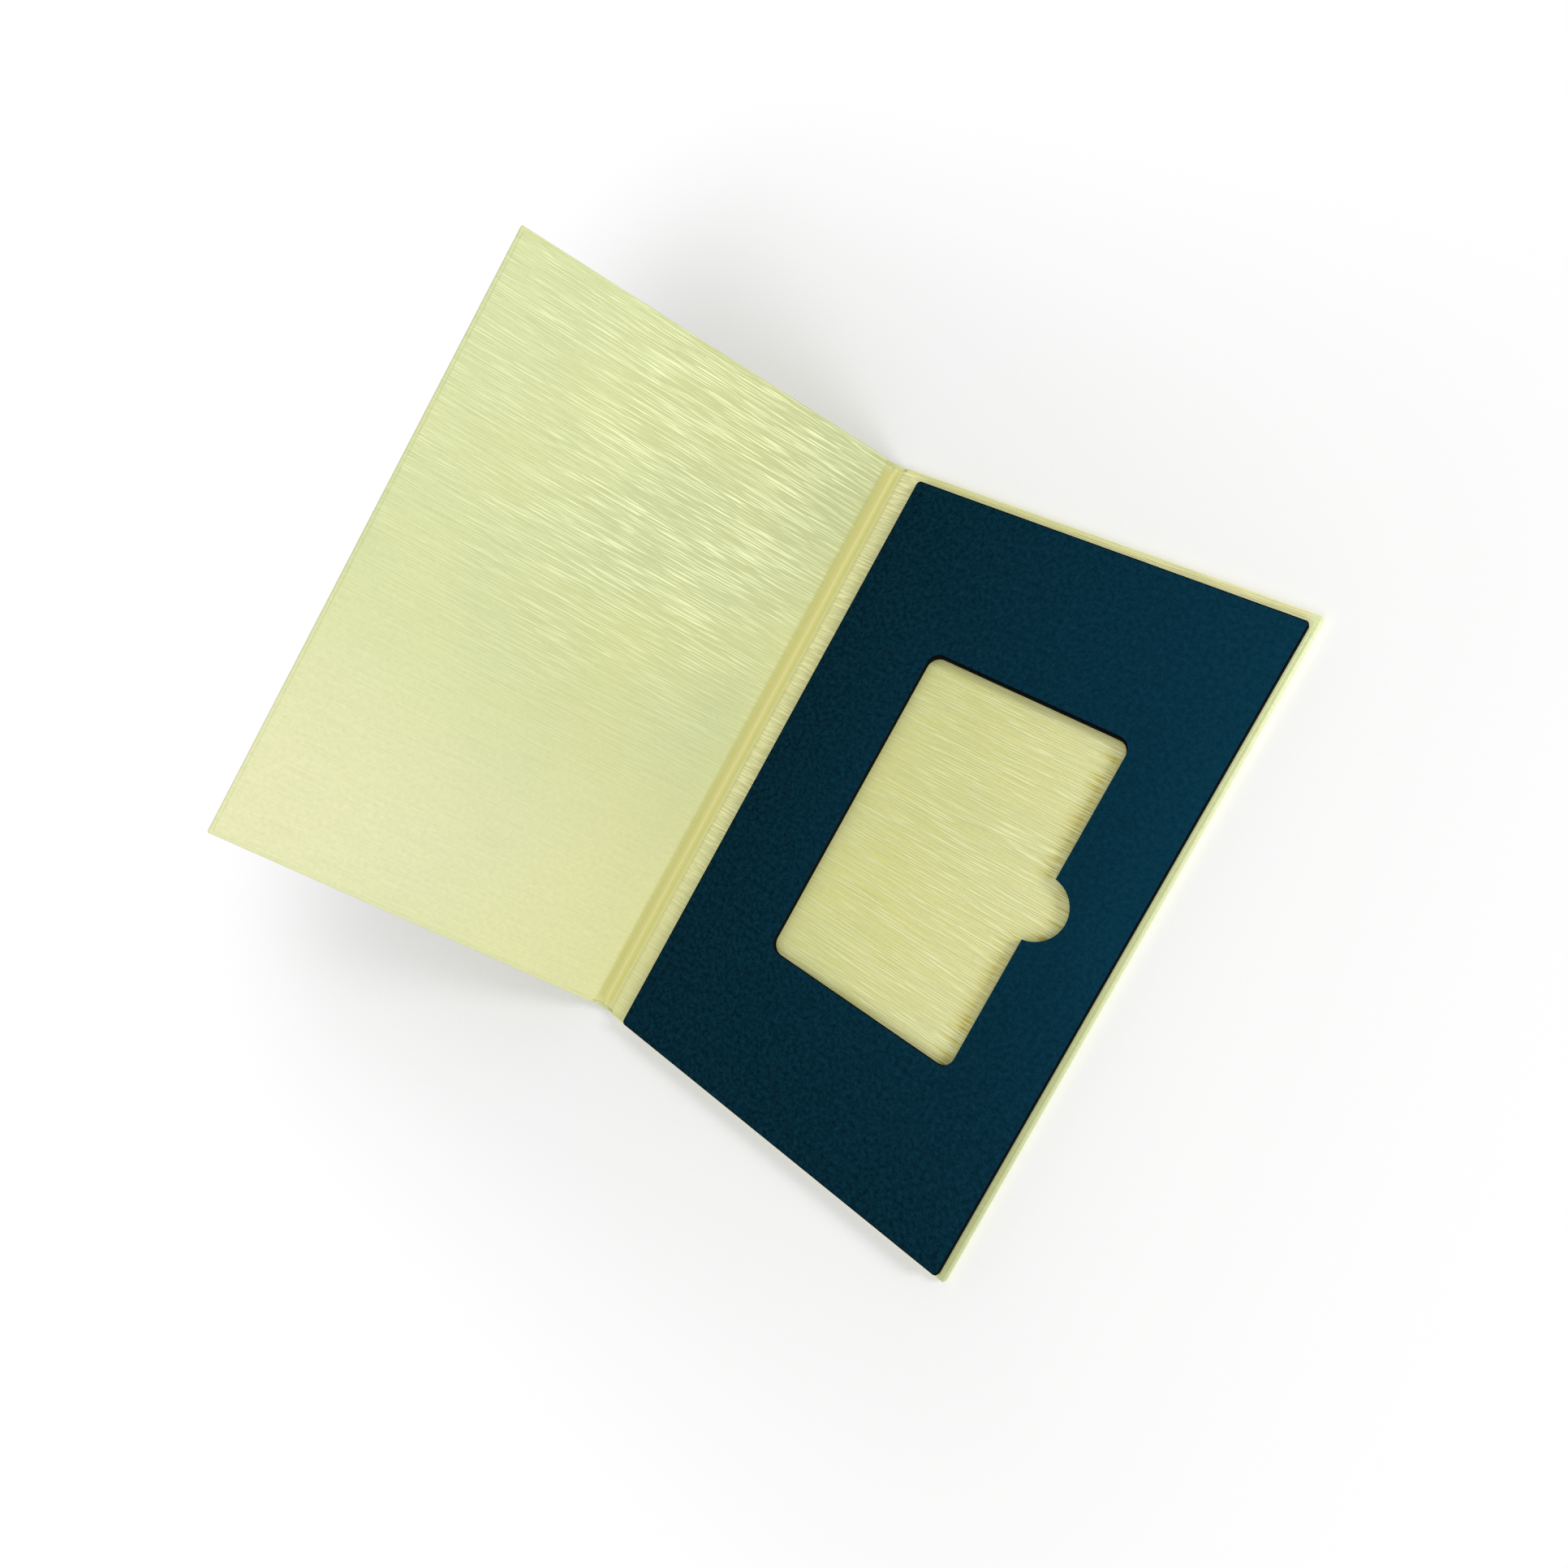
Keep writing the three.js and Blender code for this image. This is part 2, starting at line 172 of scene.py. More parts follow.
class PaperColours(bpy.types.PropertyGroup):
    """Colours of the papers and boards."""

    gold: tint("Gold", "Ground of the brushed paper", (0.594, 0.640, 0.320))
    # Bright streaks: partly the paper's own, partly painted glints; the tone also paints the sheen on the
    # front panel's fore side and the fore border's light, and marks rub on the edges
    gold_bright: tint("Bright streak", "Bright streaks of the brushed paper", (0.82, 0.88, 0.51))
    # Cream: painted glints on the back cover, painted sheen near the hinge, and the lighter strip beside the
    # hinge and the pocket's fore side
    gold_cream: tint("Cream streak", "Streaks beside the hinge and on the back cover", (0.87, 0.835, 0.43))
    # Painted light: the lit border at the head, the bright dashes beside the hinge, partly glints, and the
    # light on the back crease's slope
    gold_edge: tint("Light edge", "Border at the head, and dashes beside the hinge", (0.95, 0.90, 0.49))
    # Dark streaks: partly the paper's own, partly painted shade beside each glint; the tone also paints shade
    # on the front panel toward the hinge and head
    gold_dark: tint("Dark streak", "Dark streaks of the brushed paper", (0.48, 0.515, 0.245))
    # Yellower tone: the paper's own random patches, and painted light lifting the back cover, which the lamps
    # light less than the tilted front panel
    gold_warm: tint("Warm drift", "Where the paper turns yellower", (0.762, 0.742, 0.272))
    # Painted sheen on the front panel, toward its tail and fore edge
    gold_pale: tint("Pale drift", "Where the paper turns paler", (0.785, 0.79, 0.465))
    # Groove tones: paper darkened by pressing into each groove and by painted shade; the back groove's tone
    # is painted darker where the lamps light it
    pressed: tint("Pressed", "Paper pressed into the front cover's groove", (0.535, 0.51, 0.165))
    pressed_back: tint("Pressed back", "Paper pressed into the back cover's groove", (0.615, 0.595, 0.20))
    # Painted highlight along the ridge's crest, set forward to lighten the front flank, which lies in shade
    ridge: tint("Ridge", "Paper on the ridge", (0.77, 0.725, 0.318))
    # Painted shade: brown grain where the pocket's fore wall and notch rim shade the floor
    gold_brown: tint("Sheltered grain", "Dark grain under the pocket's fore wall", (0.54, 0.44, 0.035))
    blue: tint("Blue", "Ground of the insert's paper", (0.0007, 0.0095, 0.0162))
    blue_fore: tint("Blue fore", "Ground of the insert's paper near its fore edge", (0.0016, 0.0270, 0.0490))
    blue_light: tint("Blue fibre", "Light fibres of the insert's paper", (0.0056, 0.0560, 0.0960))
    black: tint("Black", "Dyed card of the insert's core", (0.0014, 0.0016, 0.0020))
    grey: tint("Grey", "Board inside the covers", (0.27, 0.25, 0.21))
    tape: tint("Tape", "Tape under the insert", (0.62, 0.60, 0.51))


class StageSettings(bpy.types.PropertyGroup):
    """Levels of the studio."""

    sky: FloatProperty(name="Sky", description="Level of the surrounding light", default=0.60, min=0)
    key: FloatProperty(name="Key", description="Power of the soft key lamp, in watts", default=3.7, min=0)
    fill: FloatProperty(name="Fill", description="Power of the fill lamp, in watts", default=1.7, min=0)
    floor: tint("Floor", "Colour of the floor", (0.985, 0.985, 0.985))
    lens: FloatProperty(name="Lens", description="Focal length of the camera", default=25.206, unit="CAMERA")


class CardCase(bpy.types.PropertyGroup):
    """All the settings of the case."""

    cover: PointerProperty(type=CoverSizes)
    hinge: PointerProperty(type=HingeSizes)
    insert: PointerProperty(type=InsertSizes)
    colours: PointerProperty(type=PaperColours)
    stage: PointerProperty(type=StageSettings)


SOFT = "SMOOTHSTEP"  # style of a span with soft ends


class Wiring:
    """Adds and joins the nodes of one tree."""

    def __init__(self, tree):
        self.tree = tree

    def feed(self, socket, value):
        if isinstance(value, bpy.types.NodeSocket):
            self.tree.links.new(value, socket)
        else:
            socket.default_value = value

    def add(self, kind, inputs=None, **settings):
        node = self.tree.nodes.new(kind)
        for name, value in settings.items():
            setattr(node, name, value)
        for key, value in (inputs or {}).items():
            self.feed(node.inputs[key], value)
        return node

    def math(self, operation, *values):
        return self.add("ShaderNodeMath", dict(enumerate(values)), operation=operation).outputs[0]

    def chain(self, operation, values):
        """The values taken together, from the first to the last."""
        return reduce(lambda so_far, value: self.math(operation, so_far, value), values)

    def times(self, *values):
        return self.chain("MULTIPLY", values)

    def plus(self, *values):
        return self.chain("ADD", values)

    def minus(self, *values):
        return self.chain("SUBTRACT", values)

    def most(self, *values):
        return self.chain("MAXIMUM", values)

    def apart(self, *values):
        """How far two values lie apart, or one value from zero."""
        return self.math("ABSOLUTE", self.minus(*values))

    def span(self, value, start, end, low=0.0, high=1.0, style="LINEAR"):
        """value carried from start..end to low..high, and held there beyond the ends."""
        inputs = dict(enumerate((value, start, end, low, high)))
        return self.add("ShaderNodeMapRange", inputs, interpolation_type=style).outputs[0]

    def ease(self, value, start, end, low=0.0, high=1.0):
        """The same with soft ends."""
        return self.span(value, start, end, low, high, SOFT)

    def split(self, vector):
        return self.add("ShaderNodeSeparateXYZ", {0: vector}).outputs

    def vector(self, x, y, z):
        return self.add("ShaderNodeCombineXYZ", {0: x, 1: y, 2: z}).outputs[0]

    def length(self, x, y):
        flat = {0: self.vector(x, y, 0.0)}
        return self.add("ShaderNodeVectorMath", flat, operation="LENGTH").outputs["Value"]

    def mix(self, share, first, second):
        """Colour between two colours."""
        inputs = {0: share, 6: colour(first), 7: colour(second)}
        return self.add("ShaderNodeMix", inputs, data_type="RGBA").outputs[2]

    def lay(self, ground, *layers):
        """Layers laid over the ground in turn, each a tone and the shares whose product is its strength."""
        for tone, *shares in layers:
            ground = self.mix(self.times(*shares), ground, tone)
        return ground

    def noise(self, vector, scale, detail=2.0, roughness=0.5, distortion=0.0):
        form = {"Scale": scale, "Detail": detail, "Roughness": roughness, "Distortion": distortion}
        return self.add("ShaderNodeTexNoise", {"Vector": vector} | form).outputs[0]

    def group(self, tree, inputs):
        return self.add("ShaderNodeGroup", inputs, node_tree=tree).outputs


def colour(value):
    """A colour as a socket takes it, with its alpha."""
    if isinstance(value, bpy.types.NodeSocket):
        return value
    return (*value[:3], 1.0)


def shade(tone, level):
    """A tone made darker or lighter."""
    return [level * part for part in tone]


SOCKETS = {"Vector": "NodeSocketVector", "Geometry": "NodeSocketGeometry", "Material": "NodeSocketMaterial"}


def new_tree(name, kind, inputs, outputs):
    """An empty tree with named sockets: its wiring, what comes in and its end node."""
    tree = bpy.data.node_groups.new(name, kind)
    for in_out, labels in (("INPUT", inputs), ("OUTPUT", outputs)):
        for label in labels:
            form = SOCKETS.get(label, "NodeSocketFloat")
            tree.interface.new_socket(label, in_out=in_out, socket_type=form)
    w = Wiring(tree)
    return w, w.add("NodeGroupInput").outputs, w.add("NodeGroupOutput").inputs


def made_once(build):
    """For a tree with several users: built at the first call, found under its builder's name later."""

    @wraps(build)
    def shared(*inputs):
        return bpy.data.node_groups.get(build.__name__) or build(*inputs)

    return shared


STREAK_WANDER = 0.08 * MM  # how far a streak strays from a straight line
GROOVE_WANDER = 0.6 * MM  # how far the edge of the pressed paper strays
GROOVE_WAVES = 160.0  # how often it strays, to the metre
REACH_BLEND = 0.5 * MM  # half the width over which one groove's reach gives way to the other's
HINGE_MARK_FADE = (1.0 * MM, 3.5 * MM)  # from a cover's end, where the grooves' pressing and painted shade and the ridge's painted highlight come to full strength
CREST_SHIFT = 0.25 * MM  # the ridge's painted highlight lies this far to the front of the ridge's middle, over the flank in shade
TURN_FADE = (-0.5 * MM, 0.3 * MM)  # past a cover's edge, where paper comes to count as turned in


@made_once
def brushed_grain():
    """Shader group: streaks of brushed paper along the first axis, the bright ones partly painted glints and
    the dark ones beside them partly painted shade of their relief.
    """
    inputs, outputs = ("Vector", "Length", "Width"), ("Fine", "Bright", "Dark", "Height")
    w, start, end = new_tree("brushed_grain", "ShaderNodeTree", inputs, outputs)
    x, y, _ = w.split(start["Vector"])

    def patches(along, across, layer):
        """Soft patches, so many to the metre."""
        spot = w.vector(w.times(x, along), w.times(y, across), layer)
        return w.noise(spot, scale=1.0, detail=1.0)

    def stretched(length, width, layer, detail, offset=0.0):
        along = w.math("DIVIDE", x, w.times(start["Length"], length))
        across = w.plus(w.math("DIVIDE", y, w.times(start["Width"], width)), offset)
        return w.noise(w.vector(along, across, layer), scale=1.0, detail=detail, roughness=0.55)

    wander = patches(along=30.0, across=12.0, layer=8.3)
    y = w.plus(y, w.times(w.minus(wander, 0.5), STREAK_WANDER))
    hair = stretched(length=1.5, width=0.7, layer=3.1, detail=2.0)
    dash = stretched(length=1.0, width=0.9, layer=11.7, detail=1.0)
    shadow = stretched(length=1.0, width=0.9, layer=11.7, detail=1.0, offset=0.6)
    cluster = w.span(patches(along=50.0, across=110.0, layer=5.5), 0.32, 0.56, 0.8, 1.0)
    w.feed(end["Fine"], hair)
    w.feed(end["Bright"], w.times(w.ease(dash, 0.51, 0.62), cluster))
    w.feed(end["Dark"], w.times(w.ease(shadow, 0.51, 0.64), cluster))
    w.feed(end["Height"], w.plus(w.times(hair, 0.6), w.times(dash, 0.8)))
    return w.tree


@made_once
def hinge_pressing_and_painted_light():
    """Shader group: the grooves, where pressing and painted shade darken a sheet, and the painted highlight
    along the ridge between them.
    """
    inputs = ("Vector", "Middle", "Half Length", "Front Reach", "Back Reach", "Ridge")
    w, start, end = new_tree("hinge_pressing_and_painted_light", "ShaderNodeTree", inputs, ("Groove", "Crest"))
    x, y, _ = w.split(start["Vector"])
    wave = w.noise(w.vector(0.0, w.times(y, GROOVE_WAVES), 1.7), scale=1.0)
    side = w.minus(x, start["Middle"])
    off = w.plus(w.apart(side), w.times(w.minus(wave, 0.5), GROOVE_WANDER))
    reach = w.span(side, -REACH_BLEND, REACH_BLEND, start["Front Reach"], start["Back Reach"])
    short_of_end = w.minus(start["Half Length"], w.apart(y))
    pressed = w.ease(short_of_end, *HINGE_MARK_FADE, 0.25, 1.0)
    w.feed(end["Groove"], w.times(w.ease(off, reach, start["Ridge"]), pressed))
    from_crest = w.apart(side, -CREST_SHIFT)
    w.feed(end["Crest"], w.times(w.ease(from_crest, start["Ridge"], 0.0), pressed))
    return w.tree


@made_once
def edge_rub():
    """Shader group: paper worn by rubbing along the edges of a cover, and the paper turned over those edges.
    """
    inputs = ("Vector", "Middle", "Half Width", "Half Length", "Reach")
    w, start, end = new_tree("edge_rub", "ShaderNodeTree", inputs, ("Rub", "Turned"))
    x, y, _ = w.split(start["Vector"])
    over_x = w.minus(w.apart(x, start["Middle"]), start["Half Width"])
    over_y = w.minus(w.apart(y), start["Half Length"])
    over = w.most(over_x, over_y)
    patch = w.noise(start["Vector"], scale=420.0, detail=3.0, roughness=0.6)
    near = w.ease(w.apart(over), start["Reach"], 0.0)
    w.feed(end["Rub"], w.times(near, w.span(patch, 0.38, 0.66)))
    w.feed(end["Turned"], w.span(over, *TURN_FADE))
    return w.tree


@made_once
def paper_fibre():
    """Shader group: mottle, light fibres and felt of uncoated paper or board."""
    inputs, outputs = ("Vector", "Grain"), ("Mottle", "Fibre", "Height")
    w, start, end = new_tree("paper_fibre", "ShaderNodeTree", inputs, outputs)

    def clouds(rate, **form):
        """Clouds, so many to a grain."""
        return w.noise(start["Vector"], w.math("DIVIDE", rate, start["Grain"]), **form)

    cloud = clouds(0.35, detail=3.0, roughness=0.6)
    felt = clouds(1.3, detail=4.0, roughness=0.65, distortion=0.4)
    hair = clouds(2.2, detail=1.0, distortion=1.2)
    w.feed(end["Mottle"], w.plus(w.times(cloud, 0.55), w.times(felt, 0.45)))
    w.feed(end["Fibre"], w.times(w.span(hair, 0.58, 0.76), w.span(felt, 0.4, 0.62)))
    w.feed(end["Height"], felt)
    return w.tree


def emptied(holder):
    """Wiring for the emptied tree of a material or world."""
    holder.use_nodes = True
    holder.node_tree.nodes.clear()
    return Wiring(holder.node_tree)


def new_material(name):
    """A material with its shader: the wiring and the shader's sockets."""
    material = bpy.data.materials.new(name)
    w = emptied(material)
    shader = w.add("ShaderNodeBsdfPrincipled")
    w.add("ShaderNodeOutputMaterial", {"Surface": shader.outputs[0]})
    return material, w, shader.inputs


def bump(w, height, strength, depth):
    inputs = {"Height": height, "Strength": strength, "Distance": depth}
    return w.add("ShaderNodeBump", inputs).outputs[0]


BORDER = 1 * MM  # width over which a tone sets in
WALL_SHADE_GRAIN = (6.2 * MM, 2.2 * MM)  # from the pocket's fore wall, where the painted shade's brown grain starts and is full
WALL_FADE = (-0.4 * MM, 2 * MM)  # where it fades again close to that wall
NOTCH_SHADE_GRAIN = (7.44 * MM, 3.5 * MM)  # from the notch's rim, where the painted shade's brown grain starts and is full


def under_wall(w, insert, x, y):
    """1 at the foot of the pocket's fore wall and thumb notch, 0 where the pocket is open to the light."""
    fore, notch = insert.pocket_fore, insert.notch
    middle = 0.5 * (insert.pocket_tail + insert.pocket_head)
    half = 0.5 * (insert.pocket_head - insert.pocket_tail)
    in_pocket = w.minus(fore, x)
    in_notch = w.minus(notch, w.length(w.minus(x, fore - insert.notch_inset), w.minus(y, middle)))
    at_wall = w.times(
        w.span(in_pocket, *WALL_SHADE_GRAIN),
        w.span(in_pocket, *WALL_FADE),
        w.span(w.apart(y, middle), half + 0.5 * BORDER, half),
        w.span(in_notch, BORDER, 0.0),
    )
    at_rim = w.times(
        w.span(in_notch, *NOTCH_SHADE_GRAIN),
        w.span(x, fore, fore + 3 * BORDER),
        w.span(in_notch, -BORDER, 0.0),
    )
    return w.most(at_wall, at_rim)


# How the gold sheet changes along x, to the back cover's fore edge, or along y, to the head:
# axis, start and end in millimetres, the values there unless they are 0 and 1, and SOFT for soft ends
DRIFTS = {
    "front panel": ("x", -58, -62),
    # How strong the streaks are, with their painted glints and shade; the painted glints gather toward the
    # head:
    "streaks to the head": ("y", -42, 38, 0.15, 1.0, SOFT),
    "streaks to the spine": ("x", -170, -110, 0.7, 1.0, SOFT),
    "streaks near the hinge": ("x", -85, -62, 1.0, 0.6),
    "streaks in the pocket": ("x", -20, 20, 1.0, 1.8),
    "dashes to the head": ("y", -70, -20, 0.2, 1.0, SOFT),
    # Painted light: the back cover lifted to a lighter, yellower copy of the front panel's paper:
    "warm back cover": ("x", -70, -45, 0.0, 0.7, SOFT),
    # Painted sheen on the front panel, toward its fore edge and tail, creamier toward the hinge:
    "pale to the fore edge": ("x", -60, -165, 0.52, 1.0),
    "pale to the tail": ("y", 12, -68, 0.0, 1.0, SOFT),
    "cream to the hinge": ("x", -110, -65),
    # Painted shade on the front panel, toward the hinge and the head:
    "dim to the hinge": ("x", -135, -64),
    "dim to the head": ("y", 25, 75),
    # Painted sheen along the front panel's fore side:
    "bright fore side": ("x", -115, -165, 0.0, 0.3),
    "light pocket": ("x", 0, 26, 0.0, 0.55),
    # The fore border's painted light, darker toward the tail:
    "dull to the tail": ("y", 70, -60, 0.0, 0.85),
}
STRIP_START = SPINE_MIDDLE + 3.4 * MM  # lighter strip between the hinge and the insert
PAINTED_LIGHT_RISE = (SPINE_MIDDLE + 1.4 * MM, SPINE_MIDDLE + 2.3 * MM)  # painted light beside the back groove, on the crease's slope, which lies in shade
PAINTED_LIGHT_FALL = (SPINE_MIDDLE + 3.3 * MM, SPINE_MIDDLE + 2.4 * MM)
RUB_REACH = 1.1 * MM  # width of the paper worn by rubbing along a cover's edges


def gold_paper(case, name, streak_and_glint, pressing_and_painted_light, lining):
    """Brushed pale gold paper.

    streak sets the strength of the streaks with their painted glints and shade, press how far the grooves
    darken with pressing and painted shade, and lining says whether the whole sheet faces the inside, as on
    the lining, or only its turn-ins.
    """
    material, w, shader = new_material(name)
    tones, cover, hinge = case.colours, case.cover, case.hinge
    flat = w.add("ShaderNodeUVMap", uv_map=SHEET_MAP).outputs[0]
    x, y, _ = w.split(flat)
    grain = w.group(brushed_grain(), {"Vector": flat, "Length": 11 * MM, "Width": 0.28 * MM})
    fibre = w.group(paper_fibre(), {"Vector": flat, "Grain": 0.45 * MM})
    sheet = {"Vector": flat, "Middle": SPINE_MIDDLE, "Half Length": cover.half_length}
    reaches = {"Front Reach": hinge.front_press, "Back Reach": hinge.back_press, "Ridge": hinge.crest}
    masks = w.group(hinge_pressing_and_painted_light(), sheet | reaches)
    half_width = cover.fore_edge - SPINE_MIDDLE
    edges = w.group(edge_rub(), sheet | {"Half Width": half_width, "Reach": RUB_REACH})
    inside = 1.0 if lining else edges["Turned"]

    def drift(label):
        axis, start, end, *values = DRIFTS[label]
        return w.span({"x": x, "y": y}[axis], start * MM, end * MM, *values)

    on_front = w.times(drift("front panel"), inside)
    head_half = w.most(drift("streaks to the head"), w.minus(1.0, on_front))
    toward_insert = w.ease(x, FACE_LOW.x + 3 * BORDER, FACE_LOW.x)
    beside_hinge = w.times(w.ease(x, STRIP_START - BORDER, STRIP_START), toward_insert)
    dashes = w.times(beside_hinge, drift("dashes to the head"))
    # lively: strength of the streaks, the bright ones partly painted glints and the dark ones partly their
    # painted shade
    lively = w.times(head_half, drift("streaks to the spine"), w.minus(1.0, masks["Groove"]))
    painted_wall_shade, short_dashes, painted_light = [], [], []
    if lining:
        lively = w.times(lively, drift("streaks near the hinge"), drift("streaks in the pocket"))
        short = w.group(brushed_grain(), {"Vector": flat, "Length": 7 * MM, "Width": 0.62 * MM})
        coarse = w.span(short["Fine"], 0.58, 0.44)
        # Painted shade as brown grain at the foot of the pocket's fore wall and notch rim
        painted_wall_shade.append((tones.gold_brown, under_wall(w, case.insert, x, y), coarse))
        # Short dashes beside the hinge, the bright ones partly painted glints
        short_dashes.append((tones.gold_dark, short["Dark"], dashes, 0.3))
        short_dashes.append((tones.gold_edge, short["Bright"], dashes, 0.8))
        # Painted light on the crease's slope beside the back groove, which lies in shade
        painted_light.append((tones.gold_edge, w.ease(x, *PAINTED_LIGHT_RISE, 0.0, 0.5), w.ease(x, *PAINTED_LIGHT_FALL)))
    calm = w.span(x, FACE_HIGH.x - 2 * BORDER, FACE_HIGH.x, 1.0, 0.25)
    lively = w.times(w.most(lively, dashes), streak_and_glint, calm)
    # Painted light on the borders round the insert: the head border, lightened against the insert's shade and
    # more toward the fore, where the lamp falls, and the fore border
    head_border = w.times(
        w.span(y, FACE_HIGH.y - BORDER, FACE_HIGH.y),
        w.span(x, FACE_LOW.x - BORDER, FACE_LOW.x),
        w.span(x, FACE_LOW.x, FACE_HIGH.x, 0.3, 1.0),
    )
    fore_border = w.span(x, FACE_HIGH.x - BORDER, FACE_HIGH.x)
    fore_tone = w.mix(drift("dull to the tail"), tones.gold_bright, tones.gold_dark)
    # warm: the paper's own random yellower patches, plus painted light lifting the back cover
    warm = w.plus(w.span(w.noise(flat, scale=24.0), 0.42, 0.7, 0.0, 0.3), drift("warm back cover"))
    painted_sheen_tone = w.mix(drift("cream to the hinge"), tones.gold_pale, tones.gold_cream)
    light = w.most(w.times(beside_hinge, 0.6), drift("light pocket"))
    hairs = w.times(w.span(grain["Fine"], 0.54, 0.3), w.span(head_half, 0.15, 1.0, 0.25, 0.6), calm)
    glint = w.mix(warm, tones.gold_bright, tones.gold_cream)
    groove = w.mix(w.span(x, SPINE_MIDDLE, SPINE_MIDDLE + BORDER), tones.pressed, tones.pressed_back)
    ground = w.lay(
        tones.gold,
        (tones.gold_warm, warm),
        # Painted sheen on the front panel, toward its fore side, fore edge and tail
        (tones.gold_bright, drift("bright fore side"), on_front),
        (painted_sheen_tone, drift("pale to the fore edge"), drift("pale to the tail"), on_front),
        # Painted shade on the front panel toward the hinge and head
        (tones.gold_dark, drift("dim to the hinge"), drift("dim to the head"), on_front),
        (tones.gold_cream, light, inside),
        # Painted light on the head and fore borders
        (tones.gold_edge, head_border, inside),
        (fore_tone, fore_border, inside),
        (tones.gold_dark, w.span(fibre["Mottle"], 0.4, 0.66, 0.0, 0.3)),
        (tones.gold_dark, hairs),
        *painted_wall_shade,
        # Streaks: the dark ones partly painted shade, the bright ones partly painted glints
        (tones.gold_dark, grain["Dark"], lively, 0.85),
        (glint, grain["Bright"], lively),
        *short_dashes,
        # Groove tone: darkened by pressing and by painted shade
        (groove, masks["Groove"], pressing_and_painted_light),
        # Painted highlight along the ridge's crest
        (tones.ridge, masks["Crest"], pressing_and_painted_light),
        *painted_light,
        (tones.gold_bright, edges["Rub"], 0.35),
    )
    w.feed(shader["Base Color"], ground)
    rough = w.span(grain["Fine"], 0.3, 0.7, 0.6, 0.48)
    w.feed(shader["Roughness"], w.plus(rough, w.times(masks["Groove"], 0.1)))
    shader["Metallic"].default_value = 0.06
    shader["Specular IOR Level"].default_value = 0.3
    w.feed(shader["Normal"], bump(w, grain["Height"], strength=0.3, depth=0.03 * MM))
    return material


def fibre_material(name, grain, rough, gloss, relief, squeeze=1.0):
    """A material of paper fibres: itself, its wiring, its colour socket, the fibres and its coordinates.

    rough is its roughness where the mottle is dark and where it is light, relief the strength and
    the depth of its felt, and squeeze says how much closer the fibres lie through the thickness.
    """
    material, w, shader = new_material(name)
    spot = w.add("ShaderNodeTexCoord").outputs["Object"]
    layers = w.add("ShaderNodeMapping", {"Vector": spot, "Scale": (1.0, 1.0, squeeze)}).outputs[0]
    fibre = w.group(paper_fibre(), {"Vector": layers, "Grain": grain})
    w.feed(shader["Roughness"], w.span(fibre["Mottle"], 0.3, 0.7, *rough))
    shader["Specular IOR Level"].default_value = gloss
    w.feed(shader["Normal"], bump(w, fibre["Height"], *relief))
    return material, w, shader["Base Color"], fibre, spot


def blue_paper(case):
    """Matt dark blue paper with a felt mottle and a few light fibres."""
    material, w, base, fibre, spot = fibre_material(
        "matt_blue_paper", 0.42 * MM, rough=(0.95, 0.82), gloss=0.02, relief=(0.5, 0.06 * MM)
    )
    tones = case.colours
    x, y, _ = w.split(spot)
    ground = w.lay(
        tones.blue,
        (tones.blue_fore, w.span(x, FACE_LOW.x, FACE_HIGH.x), w.span(y, FACE_LOW.y, 0.0, 0.1, 1.0)),
        (tones.blue_light, w.span(fibre["Mottle"], 0.40, 0.66, 0.0, 0.55)),
        (tones.blue_light, fibre["Fibre"], 0.6),
    )
    w.feed(base, ground)
    return material


def black_card(case):
    """Dyed black card, seen on its cut edges."""
    material, w, base, fibre, _ = fibre_material(
        "dyed_black_card", 0.5 * MM, rough=(0.98, 0.85), gloss=0.05, relief=(0.6, 0.08 * MM), squeeze=5.0
    )
    black = case.colours.black
    w.feed(base, w.lay(black, (shade(black, 2.6), w.span(fibre["Mottle"], 0.35, 0.7))))
    return material


def grey_board(case):
    """Recycled greyboard with dark and light flecks."""
    material, w, base, fibre, _ = fibre_material(
        "flecked_grey_board", 1.1 * MM, rough=(0.97, 0.88), gloss=0.15, relief=(0.6, 0.1 * MM)
    )
    grey = case.colours.grey
    mottle = (grey, w.span(fibre["Mottle"], 0.35, 0.68))
    w.feed(base, w.lay(shade(grey, 0.6), mottle, (shade(grey, 1.5), fibre["Fibre"])))
    return material


def clear_tape(case):
    """Milky double-sided tape with a tissue carrier."""
    material, w, base, fibre, _ = fibre_material(
        "milky_tape", 0.9 * MM, rough=(0.5, 0.34), gloss=0.5, relief=(0.3, 0.03 * MM)
    )
    tape = case.colours.tape
    w.feed(base, w.lay(shade(tape, 0.82), (tape, w.span(fibre["Mottle"], 0.36, 0.66))))
    return material


def smooth_share(value, start, end):
    share = min(max((value - start) / (end - start), 0.0), 1.0)
    return share * share * (3.0 - 2.0 * share)


def new_piece(name, data):
    piece = bpy.data.objects.new(name, data)
    bpy.context.scene.collection.objects.link(piece)
    return piece


def soften(mesh, angle):
    """Smooth shading, but for edges sharper than this angle in degrees."""
    mesh.shade_smooth()
    mesh.set_sharp_from_angle(angle=math.radians(angle))


def plain_mesh(piece):
    """Turns the piece and its modifiers into a plain mesh."""
    graph = bpy.context.evaluated_depsgraph_get()
    solid = piece.evaluated_get(graph)
    mesh = bpy.data.meshes.new_from_object(solid, preserve_all_data_layers=True, depsgraph=graph)
    if not mesh.polygons:
        raise RuntimeError(f"{piece.name} has no faces")
    mesh.name = piece.name
    finish = next(material for material in mesh.materials if material)
    mesh.materials.clear()
    mesh.materials.append(finish)
    mesh.polygons.foreach_set("material_index", [0] * len(mesh.polygons))
    piece.modifiers.clear()
    piece.data = mesh
    soften(mesh, angle=40)


def thicken(piece, paper):
    """Gives a sheet its thickness, below the face that is modelled."""
    solid = piece.modifiers.new("paper", "SOLIDIFY")
    solid.thickness = paper
    solid.offset = -1
    solid.use_even_offset = True


